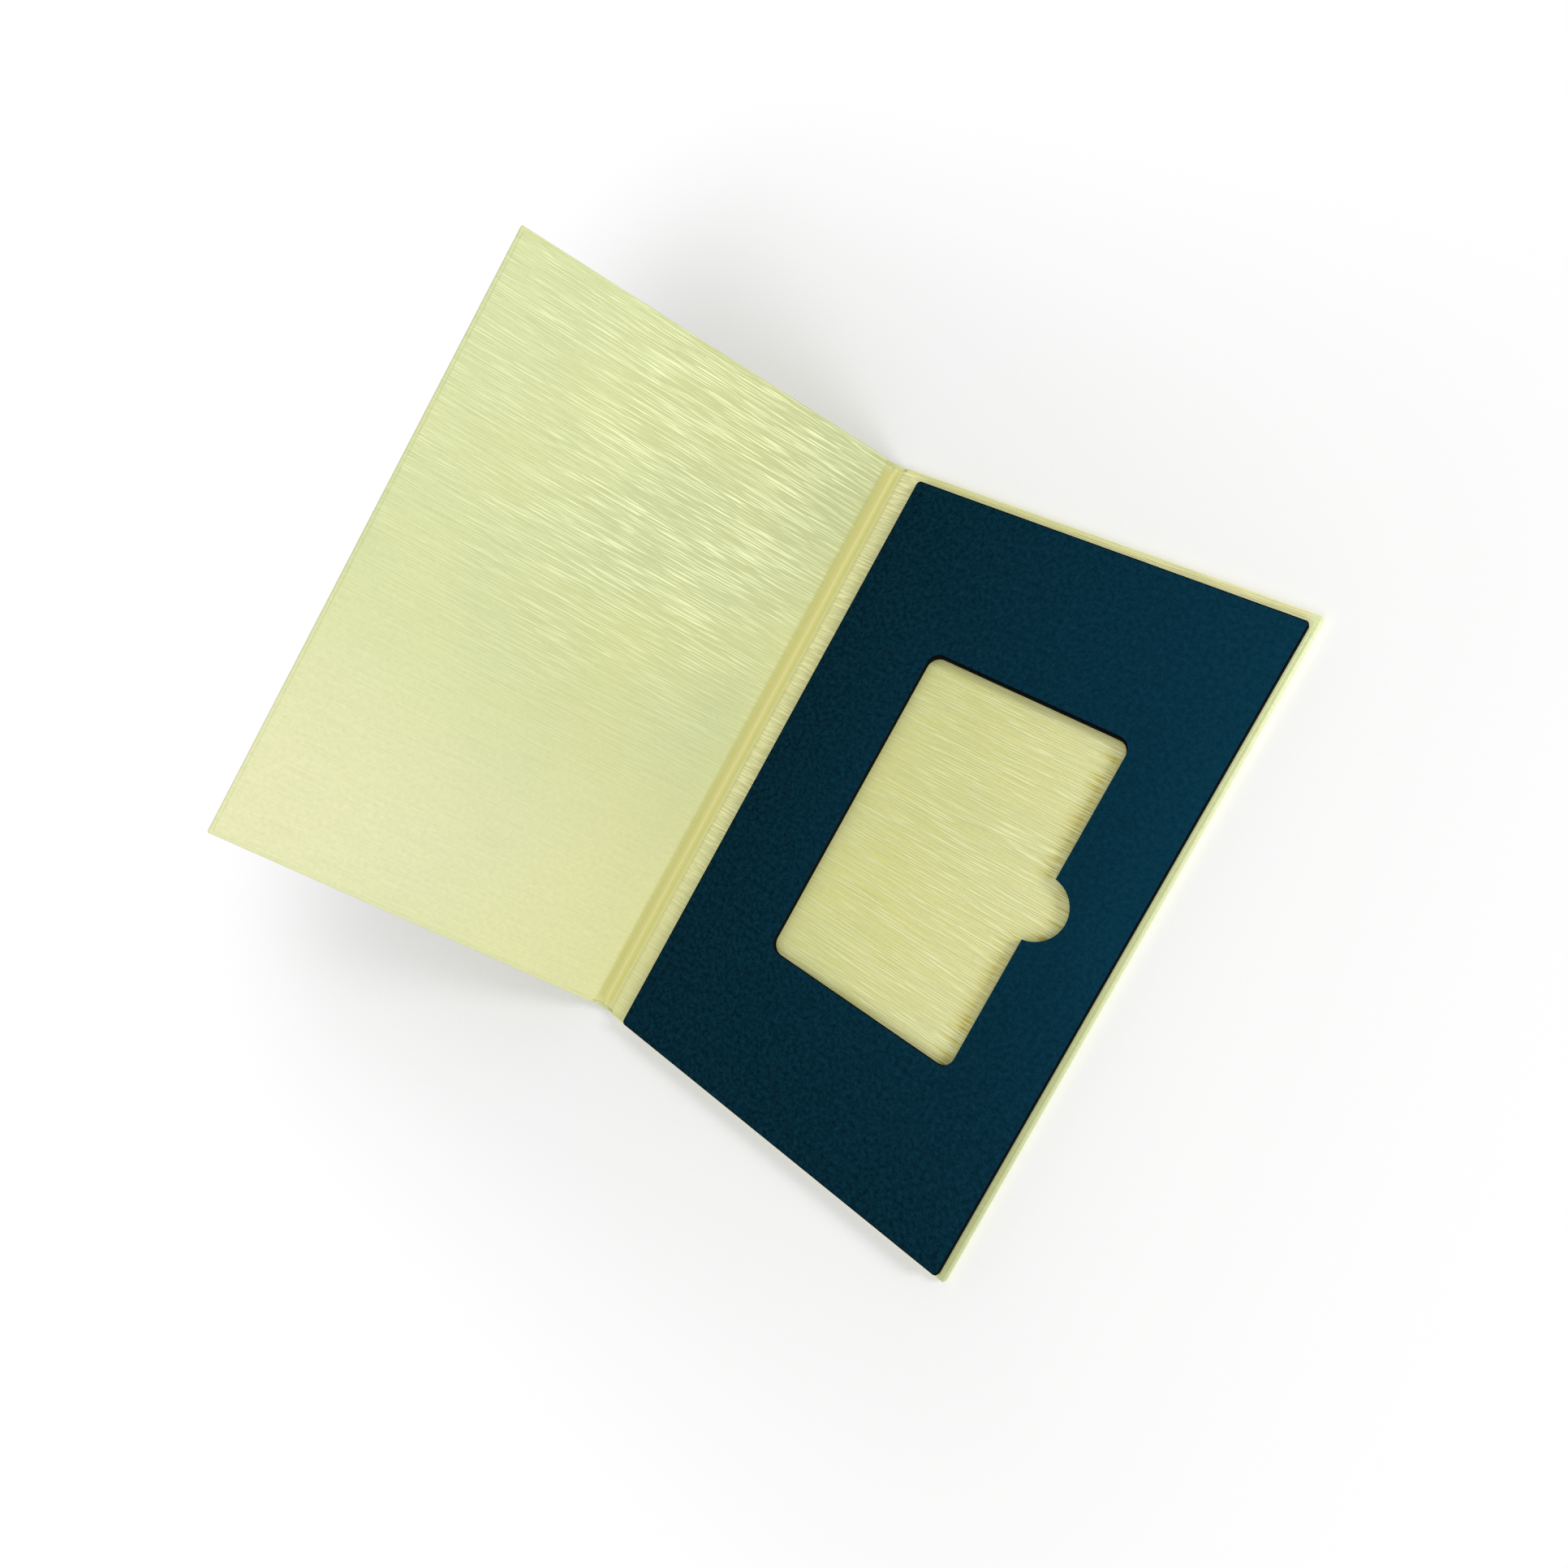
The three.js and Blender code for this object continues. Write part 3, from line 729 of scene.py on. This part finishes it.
def front_half(piece, name):
    """The same half sheet turned half round, on the front cover's side of the spine's middle."""
    mesh = piece.data.copy()
    mesh.name = name
    middle = (BACK_FOLD + FRONT_FOLD) / 2
    upright = Vector((SPINE_WAY.z, 0, -SPINE_WAY.x))
    half_turn = Matrix.Rotation(math.pi, 4, upright)
    mesh.transform(Matrix.Translation(middle) @ half_turn @ Matrix.Translation(-middle))
    flat = [corner.vector.copy() for corner in mesh.uv_layers[SHEET_MAP].uv]
    mesh.uv_layers.remove(mesh.uv_layers[SHEET_MAP])
    layer = mesh.uv_layers.new(name=SHEET_MAP)
    for corner, (flat_x, flat_y) in zip(layer.uv, flat):
        corner.vector = (2 * SPINE_MIDDLE - flat_x, -flat_y)
    return new_piece(name, mesh)


def bend_at_folds(back, front):
    """Bakes the placing of each half sheet into its mesh."""
    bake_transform(back)
    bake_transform(front)


LINING_COLUMNS = (48, 14, 40)  # steps across: hinge, middle of the cover, fore edge
LINING_ROWS = (30, 12, 20, 12, 30)  # steps along: tail corner, tail, middle, head, head corner
STEP_RUN = 1.5 * MM  # width over which the lining drops inside the turn-ins
PAST_TURN_IN = 3 * MM  # how far the fine steps along a cover's edges reach past its turn-ins
PAST_CREASE = 1 * MM  # how far the fine steps of the lining's hinge reach over the board


@made_once
def creased_lining(sizes):
    """Geometry tree: half of the lining, from the ridge to the fore edge, with its crease and fold."""
    w, start, end = new_tree("creased_lining", "GeometryNodeTree", sizes, ("Geometry",))
    w.tree.is_modifier = True
    points = {"Vertices X": sum(LINING_COLUMNS) + 1, "Vertices Y": sum(LINING_ROWS) + 1}
    grid = w.add("GeometryNodeMeshGrid", {"Size X": 1.0, "Size Y": 1.0} | points).outputs["Mesh"]
    grid_x, grid_y, _ = w.split(w.add("GeometryNodeInputPosition").outputs[0])

    def spread(share, steps, ends):
        """Carries the grid's even steps to uneven ones between these ends."""
        value, done = ends[0], 0
        for count, low, high in zip(steps, ends, ends[1:]):
            part = (done / sum(steps), (done + count) / sum(steps))
            value = w.plus(value, w.span(share, *part, 0.0, w.minus(high, low)))
            done += count
        return value

    fore, middle, crease = start["Fore Edge"], start["Spine Middle"], start["Crease Start"]
    dense = w.plus(start["Turn-in"], PAST_TURN_IN)
    corner = w.times(start["Corner Crease In"], 1.5)
    across_ends = (middle, w.plus(crease, PAST_CREASE), w.minus(fore, dense), fore)
    heads = [w.minus(start["Half Length"], inset) for inset in (dense, corner, 0.0)]
    tails = [w.times(head, -1.0) for head in reversed(heads)]
    x = spread(w.plus(grid_x, 0.5), LINING_COLUMNS, across_ends)
    y = spread(w.plus(grid_y, 0.5), LINING_ROWS, (*tails, *heads))
    crease_end = w.minus(crease, start["Crease Run"])
    drop = w.ease(x, crease, crease_end, 0.0, start["Crease Depth"])
    half_ridge = w.times(start["Ridge Width"], 0.5)
    swell = w.span(x, w.minus(middle, half_ridge), w.plus(middle, half_ridge), 0.0, math.pi)
    swell = w.math("SINE", swell)
    ridge = w.times(swell, swell, start["Ridge Height"])
    from_fore = w.plus(w.minus(fore, x), start["Cover Inset"])
    half_cover = w.plus(start["Half Length"], start["Cover Inset"])
    from_end, from_tail = w.minus(half_cover, w.apart(y)), w.plus(half_cover, y)
    slant = w.math("ARCTAN2", start["Corner Crease In"], start["Corner Crease"])
    across, along = w.math("SINE", slant), w.math("COSINE", slant)
    off_crease = w.minus(w.times(from_fore, across), w.times(from_tail, along))
    done = w.plus(w.times(from_fore, along), w.times(from_tail, across))
    near = w.ease(w.apart(off_crease), start["Corner Crease Width"], 0.0)
    fade = w.ease(done, start["Corner Crease"], w.times(start["Corner Crease"], 0.5))
    dip = w.times(near, fade, start["Corner Crease Depth"])
    inside, turned = w.math("MINIMUM", from_fore, from_end), start["Turn-in"]
    step = w.ease(inside, turned, w.plus(turned, STEP_RUN), 0.0, start["Turn-in Step"])
    z = w.minus(w.plus(w.minus(start["Cover Height"], drop), ridge), dip, step)
    fold, reach = start["Fold Line"], start["Fold Reach"]
    turn = {
        "Vector": w.vector(x, y, z),
        "Center": w.vector(fold, 0.0, start["Fold Height"]),
        "Axis": (0.0, 1.0, 0.0),
        "Angle": w.ease(x, w.plus(fold, reach), w.minus(fold, reach), 0.0, start["Fold Angle"]),
    }
    bent = w.add("ShaderNodeVectorRotate", turn).outputs[0]
    flat = {"Geometry": grid, "Name": SHEET_MAP}
    mapped = w.add("GeometryNodeStoreNamedAttribute", flat, data_type="FLOAT2", domain="CORNER")
    w.feed(mapped.inputs["Value"], w.vector(x, y, 0.0))
    shaped = w.add("GeometryNodeSetPosition", {"Geometry": mapped.outputs[0], "Position": bent}).outputs[0]
    real = w.add("GeometryNodeRealizeInstances", {"Geometry": shaped}).outputs[0]
    finished = w.add("GeometryNodeSetMaterial", {"Geometry": real, "Material": start["Material"]}).outputs[0]
    w.feed(end["Geometry"], finished)
    return w.tree


def lining_half(name, finish, cover, hinge, crease_depth):
    """Half of the lining on the back cover's side, with a crease this deep across its tail fore corner."""
    sizes = {
        "Fore Edge": cover.fore_edge - cover.lining_inset,
        "Half Length": cover.half_length - cover.lining_inset,
        "Cover Height": cover.lining_height,
        "Cover Inset": cover.lining_inset,
        "Spine Middle": SPINE_MIDDLE,
        "Crease Start": hinge.crease_start,
        "Crease Run": hinge.lining_run,
        "Crease Depth": hinge.crease_depth,
        "Ridge Width": hinge.ridge_width,
        "Ridge Height": hinge.ridge_height,
        "Fold Line": BACK_FOLD.x,
        "Fold Height": BACK_FOLD.z,
        "Fold Angle": FOLD_ANGLE,
        "Fold Reach": hinge.fold_reach,
        "Turn-in": cover.turn_in,
        "Turn-in Step": cover.turn_in_step,
        "Corner Crease": cover.corner_crease,
        "Corner Crease In": cover.corner_crease_in,
        "Corner Crease Width": cover.corner_crease_width,
        "Corner Crease Depth": crease_depth,
        "Material": finish,
    }
    half = new_piece(name, bpy.data.meshes.new(name))
    creases = half.modifiers.new("creases", "NODES")
    creases.node_group = creased_lining(sizes)
    for item in creases.node_group.interface.items_tree:
        if item.in_out == "INPUT":
            creases[item.identifier] = sizes[item.name]
    thicken(half, cover.paper)
    plain_mesh(half)
    return half


class CARDCASE_OT_lining(bpy.types.Operator):
    """Make the creased lining of both covers and the spine"""

    bl_idname = "cardcase.lining"
    bl_label = "Lining"
    bl_options = {"REGISTER", "UNDO"}

    def execute(self, context):
        case = context.scene.card_case
        cover, hinge = case.cover, case.hinge
        gold = gold_paper(case, "brushed_gold_lining", streak_and_glint=1.0, pressing_and_painted_light=0.85, lining=True)
        back = lining_half("lining_back", gold, cover, hinge, crease_depth=0.0)
        turned = lining_half("front_lining_flat", gold, cover, hinge, cover.corner_crease_depth)
        front = front_half(turned, "lining_front")
        bpy.data.objects.remove(turned)
        for piece, node in ((back, "back_lining"), (front, "front_lining")):
            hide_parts(node, "spine_lining")
        bend_at_folds(back, front)
        return {"FINISHED"}


TOGETHER = 1e-7  # corners closer than this are one corner


class Sheet:
    """Collects the patches of an open sheet, each corner with its place on the flat sheet."""

    def __init__(self):
        self.mesh = bmesh.new()
        self.flat = self.mesh.loops.layers.uv.new(SHEET_MAP)

    def face(self, corners):
        """One face of (place, flat place) corners; corners that fall together are left out."""
        kept = []
        for corner in corners:
            if not any((corner[0] - other[0]).length < TOGETHER for other in kept):
                kept.append(corner)
        if len(kept) < 3:
            return
        face = self.mesh.faces.new([self.mesh.verts.new(spot) for spot, _ in kept])
        for loop, (_, flat) in zip(face.loops, kept):
            loop[self.flat].uv = flat

    def patch(self, lines):
        """Quads between neighbouring lines, as far as the shorter one reaches."""
        for first, second in zip(lines, lines[1:]):
            for index in range(min(len(first), len(second)) - 1):
                self.face([first[index], first[index + 1], second[index + 1], second[index]])

    def mitred(self, lines, both_ends):
        """A flap whose lines get one point shorter at a mitre, with triangles along the mitre."""
        for longer, shorter in zip(lines, lines[1:]):
            if both_ends:
                self.face([longer[0], longer[1], shorter[0]])
                longer = longer[1:]
            self.patch([longer, shorter])
            self.face([longer[-2], longer[-1], shorter[-1]])

    def finish(self, name):
        """Joins the patches and turns their faces to the outside, which is down on a cover's outer face."""
        bmesh.ops.remove_doubles(self.mesh, verts=self.mesh.verts, dist=TOGETHER)
        bmesh.ops.recalc_face_normals(self.mesh, faces=self.mesh.faces)
        lowest = min(self.mesh.faces, key=lambda face: face.calc_center_median().z)
        if lowest.normal.z > 0:
            bmesh.ops.reverse_faces(self.mesh, faces=self.mesh.faces)
        mesh = bpy.data.meshes.new(name)
        self.mesh.to_mesh(mesh)
        self.mesh.free()
        return mesh


def stops(*runs):
    """Values along several runs, each given as (start, end, steps), without the repeated ends."""
    values = [runs[0][0]]
    for start, end, steps in runs:
        values += [start + (end - start) * step / steps for step in range(1, steps + 1)]
    return values


EDGE_STEPS = 6  # facets of a quarter turn over a board's edge
CORNER_STEPS = 8  # facets of a cover's corner in plan
HINGE_COLUMNS, COVER_COLUMNS, COVER_ROWS, FLAP_STEPS = 48, 12, 16, 5  # steps of the wrap
NEAR_EDGE = [1.1 * MM, 1.6 * MM]  # first lines of a turn-in, from the cover's edge
FLAP_START = 2.5 * MM  # from here a turn-in has even steps
SLIT_START = 1.2 * MM  # the slit between two turn-ins starts under the lining
WITHIN = 1e-9  # rounding that still counts as on the line


def quarter_turn(steps):
    """(sine, cosine) at even steps of a quarter turn."""
    angles = [0.5 * math.pi * step / steps for step in range(steps + 1)]
    return [(math.sin(angle), math.cos(angle)) for angle in angles]


def edge_line(low, high, radius, inset):
    """(inset, height) points from a cover's outer face round its edge to the turn-in."""
    radius = min(radius, 0.49 * (high - low))  # both turns fit in the height
    turns = quarter_turn(EDGE_STEPS)
    lower = [(radius * (1 - sine), low + radius * (1 - cosine)) for sine, cosine in turns]
    upper = [(radius * (1 - cosine), high - radius * (1 - sine)) for sine, cosine in turns]
    return [(inset, low), *lower, *upper, (inset, high)]


def runs_of(points):
    """How far each point lies along the line from its first point."""
    lengths = [0.0]
    for (inset, height), (last_inset, last_height) in zip(points[1:], points):
        lengths.append(lengths[-1] + math.hypot(inset - last_inset, height - last_height))
    return lengths


def wrap_sheet(cover, hinge):
    """Outer face of the wrap on the back cover and half the spine, before the spine is folded up."""
    sheet = Sheet()
    fore, head, top, first = cover.fore_edge, cover.half_length, cover.wrap_height, cover.corner
    insets = [first, *NEAR_EDGE] + stops((FLAP_START, cover.turn_in, FLAP_STEPS))
    shift = cover.slit / math.sqrt(2)
    crease = hinge.crease_start
    hinge_end, fore_start = crease + 0.5 * PAST_CREASE, fore - cover.turn_in - PAST_TURN_IN
    columns = stops((SPINE_MIDDLE, hinge_end, HINGE_COLUMNS), (hinge_end, fore_start, COVER_COLUMNS))
    columns += [fore - inset for inset in reversed(insets)]
    ends = [head - inset for inset in reversed(insets)]
    inner = stops((-ends[0], ends[0], COVER_ROWS))[1:-1]
    rows = [-end for end in reversed(ends)] + inner + ends
    cover_edge = edge_line(0.0, top, cover.edge, first)
    edge_runs = runs_of(cover_edge)

    def heights(x):
        share = smooth_share(x, crease, crease - hinge.crease_run)
        return share * hinge.spine_low, top + share * (hinge.hem_high - top)

    def turn_over(along, limit, way, both_ends=False):
        """The wrap over one edge and its turn-in. way gives (x, y) so far along the edge and so far in."""

        def corner(far_along, inset, run, z=None):
            x, y = way(far_along, inset)
            return Vector((x, y, heights(x)[1] if z is None else z)), way(far_along, first - run)

        lines, flap = [], []
        for step in along:
            edge = edge_line(*heights(way(step, first)[0]), cover.edge, first)
            lines.append([corner(step, inset, run, z) for (inset, z), run in zip(edge, edge_runs)])
        for inset in insets:
            line = [step for step in along if (abs(step) if both_ends else step) < limit - inset + WITHIN]
            if inset > SLIT_START:
                line[-1] -= shift
                line[0] += shift if both_ends else 0.0
            flap.append([corner(step, inset, edge_runs[-1] + inset - first) for step in line])
        sheet.patch(lines)
        sheet.mitred(flap, both_ends)

    sheet.patch([[(Vector((x, y, heights(x)[0])), (x, y)) for y in rows] for x in columns])
    turn_over(rows, head, lambda y, inset: (fore - inset, y), both_ends=True)
    for side in (-1, 1):
        turn_over(columns, fore, lambda x, inset: (x, side * (head - inset)))
        pivot = Vector((fore - first, side * (head - first), 0))
        fan = []
        for sine, cosine in quarter_turn(CORNER_STEPS):
            way = Vector((cosine, side * sine, 0))
            line = []
            for (inset, z), run in zip(cover_edge, edge_runs):
                flat = pivot + run * way
                line.append((pivot + (first - inset) * way + Vector((0, 0, z)), (flat.x, flat.y)))
            fan.append(line)
        sheet.patch(fan)
    return sheet.finish("wrap_back")


def fold_up(mesh, reach):
    """Bends the spine up at the back cover's fold line, as the case stands open."""
    for vertex in mesh.vertices:
        share = smooth_share(vertex.co.x, BACK_FOLD.x + reach, BACK_FOLD.x - reach)
        turn = Matrix.Rotation(share * FOLD_ANGLE, 3, "Y")
        vertex.co = BACK_FOLD + turn @ (vertex.co - BACK_FOLD)


class CARDCASE_OT_wrap(bpy.types.Operator):
    """Make the outer wrap of both covers and the spine, with its mitred turn-ins"""

    bl_idname = "cardcase.wrap"
    bl_label = "Wrap"
    bl_options = {"REGISTER", "UNDO"}

    def execute(self, context):
        case = context.scene.card_case
        cover, hinge = case.cover, case.hinge
        mesh = wrap_sheet(cover, hinge)
        fold_up(mesh, hinge.fold_reach)
        gold = gold_paper(case, "brushed_gold_wrap", streak_and_glint=0.7, pressing_and_painted_light=0.35, lining=False)
        mesh.materials.append(gold)
        back = new_piece("wrap_back", mesh)
        thicken(back, cover.paper)
        plain_mesh(back)
        front = front_half(back, "wrap_front")
        for piece, node in ((back, "back_wrap"), (front, "front_wrap")):
            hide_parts(node, "spine_wrap")
        bend_at_folds(back, front)
        return {"FINISHED"}


ARC_STEPS = 14  # facets of a quarter turn in the insert's outline
CUT_STEPS = 3  # facets of the rounding that the die leaves
PLIES = 3  # layers of card in the insert's core
LEAST_CORNER = 0.05 * MM


def arc(middle, radius, start, end, steps):
    """Points of an arc, its angles in degrees."""
    angles = [math.radians(start + (end - start) * step / steps) for step in range(steps + 1)]
    return [(middle[0] + radius * math.cos(a), middle[1] + radius * math.sin(a)) for a in angles]


def rounded(left, right, tail, head, radius):
    """Outline of a rounded rectangle, anticlockwise from its tail fore corner, one list for each corner."""
    left, right, tail, head = left + radius, right - radius, tail + radius, head - radius
    middles = ((right, tail), (right, head), (left, head), (left, tail))
    starts = (-90, 0, 90, 180)
    return [arc(middle, radius, start, start + 90, ARC_STEPS) for middle, start in zip(middles, starts)]


def insert_outline(insert, box, inset):
    """Outside of a layer of the insert, whose box is given, set in by a little."""
    low, high = box
    radius = max(insert.corner - (CORE_HIGH.x - high.x) - inset, LEAST_CORNER)
    corners = rounded(low.x + inset, high.x - inset, low.y + inset, high.y - inset, radius)
    return [point for corner in corners for point in corner]


def pocket_outline(insert, outset, reveal):
    """Pocket with its thumb notch, widened by a little all round and by the reveal at its head."""
    tail_fore, head_fore, head_spine, tail_spine = rounded(
        insert.pocket_spine - outset,
        insert.pocket_fore + outset,
        insert.pocket_tail - outset,
        insert.pocket_head + reveal + outset,
        insert.pocket_corner + outset,
    )
    radius = insert.notch + outset
    turn = math.degrees(math.acos((insert.notch_inset + outset) / radius))
    middle = (insert.pocket_fore - insert.notch_inset, 0.5 * (insert.pocket_tail + insert.pocket_head))
    notch = arc(middle, radius, -turn, turn, 3 * ARC_STEPS)
    return tail_fore + notch + head_fore + head_spine + tail_spine


def die_cut(name, insert, box, levels, reveal=0.0):
    """A layer of the insert with its pocket. Each level is (height, how far the cut edge lies back)."""
    mesh = bmesh.new()
    outer, inner = [], []
    for z, back in levels:
        outer.append([mesh.verts.new((x, y, z)) for x, y in insert_outline(insert, box, back)])
        inner.append([mesh.verts.new((x, y, z)) for x, y in pocket_outline(insert, back, reveal)])
    for loops in (outer, inner):
        for lower, upper in zip(loops, loops[1:]):
            for index, vertex in enumerate(lower):
                following = (index + 1) % len(lower)
                mesh.faces.new((vertex, lower[following], upper[following], upper[index]))
    for level in (0, -1):
        edges = []
        for loop in (outer[level], inner[level]):
            for index, vertex in enumerate(loop):
                pair = (vertex, loop[(index + 1) % len(loop)])
                edges.append(mesh.edges.get(pair) or mesh.edges.new(pair))
        bmesh.ops.triangle_fill(mesh, use_beauty=True, use_dissolve=False, edges=edges)
    bmesh.ops.recalc_face_normals(mesh, faces=mesh.faces)
    plate = bpy.data.meshes.new(name)
    mesh.to_mesh(plate)
    mesh.free()
    soften(plate, angle=25)
    return new_piece(name, plate)


class CARDCASE_OT_insert_face(bpy.types.Operator):
    """Make the blue paper on the insert, with the edge that its die leaves"""

    bl_idname = "cardcase.insert_face"
    bl_label = "Insert face"
    bl_options = {"REGISTER", "UNDO"}

    def execute(self, context):
        case = context.scene.card_case
        edge = case.insert.cut_edge
        levels = [(FACE_LOW.z, 0.0)]
        for sine, cosine in quarter_turn(CUT_STEPS):
            levels.append((FACE_HIGH.z - edge * (1 - sine), edge * (1 - cosine)))
        box = (FACE_LOW, FACE_HIGH)
        face = die_cut("insert_face_paper", case.insert, box, levels, case.insert.head_reveal)
        face.data.materials.append(blue_paper(case))
        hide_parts("insert_face")
        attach(face, "back_cover")
        return {"FINISHED"}


class CARDCASE_OT_insert_core(bpy.types.Operator):
    """Make the black core of the insert, with the lines between its plies"""

    bl_idname = "cardcase.insert_core"
    bl_label = "Insert core"
    bl_options = {"REGISTER", "UNDO"}

    def execute(self, context):
        case = context.scene.card_case
        groove = case.insert.ply_groove
        low, high = CORE_LOW.z, CORE_HIGH.z
        levels = [(low, 0.0)]
        for ply in range(1, PLIES):
            line = low + (high - low) * ply / PLIES
            levels += [(line - groove, 0.0), (line, groove), (line + groove, 0.0)]
        levels.append((high, 0.0))
        core = die_cut("insert_core_card", case.insert, (CORE_LOW, CORE_HIGH), levels)
        core.data.materials.append(black_card(case))
        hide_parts("insert_core")
        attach(core, "back_cover")
        return {"FINISHED"}


def finish_nodes(names, material):
    """Gives CAD nodes that stay in the model their finish."""
    for name in names:
        node = frame["nodes"][name]
        node.data.materials.clear()
        node.data.materials.append(material)


class CARDCASE_OT_boards(bpy.types.Operator):
    """Finish the greyboards inside the covers"""

    bl_idname = "cardcase.boards"
    bl_label = "Boards"
    bl_options = {"REGISTER", "UNDO"}

    def execute(self, context):
        finish_nodes(BOARDS, grey_board(context.scene.card_case))
        return {"FINISHED"}


class CARDCASE_OT_tapes(bpy.types.Operator):
    """Finish the tapes under the insert"""

    bl_idname = "cardcase.tapes"
    bl_label = "Tapes"
    bl_options = {"REGISTER", "UNDO"}

    def execute(self, context):
        finish_nodes(TAPES, clear_tape(context.scene.card_case))
        return {"FINISHED"}


FLOOR_HALF = 4.0  # metres from its middle to an edge
FLOOR_GAP = 0.05 * MM
SHADOW_REACH = 0.11  # how far the floor keeps the shadow before it fades to white
WHITE = (1, 1, 1, 1)
KEY_LAMP = (0.24, (0.69, 0.485, 0.45), (0.0, 0.0, 0.02))  # width, place and what it points at
FILL_LAMP = (0.5, (0.35, -0.50, 0.70), (-0.06, 0.0, 0.02))
CAMERA_PLACE = (0.096701, 0.007985, 0.261804)
CAMERA_TURN = (13.9782, 28.8499, 33.0101)  # degrees
CAMERA_SHIFT = (0.040683, -0.016925)
SENSOR_WIDTH = 36.0  # millimetres
CLIP_RANGE = (0.01, 20.0)


def seen_directly(w):
    """1 for rays that show the surroundings: from the camera, in gloss and through clear things."""
    path = w.add("ShaderNodeLightPath").outputs
    return w.most(*(path[f"Is {kind} Ray"] for kind in ("Camera", "Glossy", "Transmission")))


def pale_floor(tone):
    """Floor that keeps the case's shadow and fades to white away from it."""
    material = bpy.data.materials.new("pale_floor")
    w = emptied(material)
    spot = w.add("ShaderNodeTexCoord").outputs["Object"]
    x, y, _ = w.split(spot)
    middle, half = 0.5 * (CAD_LOW.x + CAD_HIGH.x), 0.5 * (CAD_HIGH.x - CAD_LOW.x)
    over_x, over_y = w.minus(w.apart(x, middle), half), w.minus(w.apart(y), CAD_HIGH.y)
    away = w.length(w.most(over_x, 0.0), w.most(over_y, 0.0))
    fade = w.times(w.ease(away, 0.0, SHADOW_REACH), seen_directly(w))
    mottled = w.mix(w.noise(spot, scale=900.0, detail=3.0), shade(tone, 0.985), tone)
    paint = w.add("ShaderNodeBsdfDiffuse", {"Color": mottled}).outputs[0]
    glow = w.add("ShaderNodeEmission", {"Color": WHITE, "Strength": 1.0}).outputs[0]
    mixed = w.add("ShaderNodeMixShader", {0: fade, 1: paint, 2: glow}).outputs[0]
    w.add("ShaderNodeOutputMaterial", {"Surface": mixed})
    return material


def soft_lamp(name, power, width, spot, target):
    lamp = bpy.data.lights.new(name, "AREA")
    lamp.energy, lamp.size = power, width
    holder = new_piece(name, lamp)
    holder.location = spot
    holder.rotation_euler = (Vector(target) - Vector(spot)).to_track_quat("-Z", "Y").to_euler()


class CARDCASE_OT_stage(bpy.types.Operator):
    """Make the floor, the soft light and the camera"""

    bl_idname = "cardcase.stage"
    bl_label = "Stage"
    bl_options = {"REGISTER", "UNDO"}

    def execute(self, context):
        scene, stage = context.scene, context.scene.card_case.stage
        scene.view_settings.view_transform = "Standard"
        mesh = bpy.data.meshes.new("floor")
        corners = ((-1, -1), (1, -1), (1, 1), (-1, 1))
        spots = [(FLOOR_HALF * x, FLOOR_HALF * y, -FLOOR_GAP) for x, y in corners]
        mesh.from_pydata(spots, [], [range(len(spots))])
        mesh.materials.append(pale_floor(stage.floor))
        new_piece("floor", mesh)
        world = bpy.data.worlds.new("studio")
        w = emptied(world)
        level = w.span(seen_directly(w), 0.0, 1.0, stage.sky, 1.0)
        sky = w.add("ShaderNodeBackground", {"Color": WHITE, "Strength": level}).outputs[0]
        w.add("ShaderNodeOutputWorld", {"Surface": sky})
        scene.world = world
        soft_lamp("key", stage.key, *KEY_LAMP)
        soft_lamp("fill", stage.fill, *FILL_LAMP)
        camera = bpy.data.cameras.new("camera")
        camera.lens = stage.lens
        camera.sensor_width = SENSOR_WIDTH
        camera.shift_x, camera.shift_y = CAMERA_SHIFT
        camera.clip_start, camera.clip_end = CLIP_RANGE
        holder = new_piece("camera", camera)
        holder.location = CAMERA_PLACE
        holder.rotation_euler = [math.radians(angle) for angle in CAMERA_TURN]
        scene.camera = holder
        return {"FINISHED"}


class CARDCASE_PT_sidebar(bpy.types.Panel):
    """The case's steps and settings"""

    bl_idname = "CARDCASE_PT_sidebar"
    bl_label = "Card case"
    bl_space_type = "VIEW_3D"
    bl_region_type = "UI"
    bl_category = "Card case"

    def draw(self, context):
        case = context.scene.card_case
        for step in STEPS:
            self.layout.operator(step.bl_idname)
        for group in (case.cover, case.hinge, case.insert, case.colours, case.stage):
            box = self.layout.box()
            for name in group.__annotations__:
                box.prop(group, name)


GROUPS = (CoverSizes, HingeSizes, InsertSizes, PaperColours, StageSettings, CardCase)
STEPS = (
    CARDCASE_OT_stage,
    CARDCASE_OT_wrap,
    CARDCASE_OT_lining,
    CARDCASE_OT_boards,
    CARDCASE_OT_tapes,
    CARDCASE_OT_insert_core,
    CARDCASE_OT_insert_face,
)


def register():
    for item in (*GROUPS, *STEPS, CARDCASE_PT_sidebar):
        bpy.utils.register_class(item)
    bpy.types.Scene.card_case = PointerProperty(type=CardCase)


def unregister():
    del bpy.types.Scene.card_case
    for item in reversed((*GROUPS, *STEPS, CARDCASE_PT_sidebar)):
        bpy.utils.unregister_class(item)


def main():
    register()
    for step in STEPS:
        group, name = step.bl_idname.split(".")
        getattr(getattr(bpy.ops, group), name)()


if __name__ == "__main__":
    main()
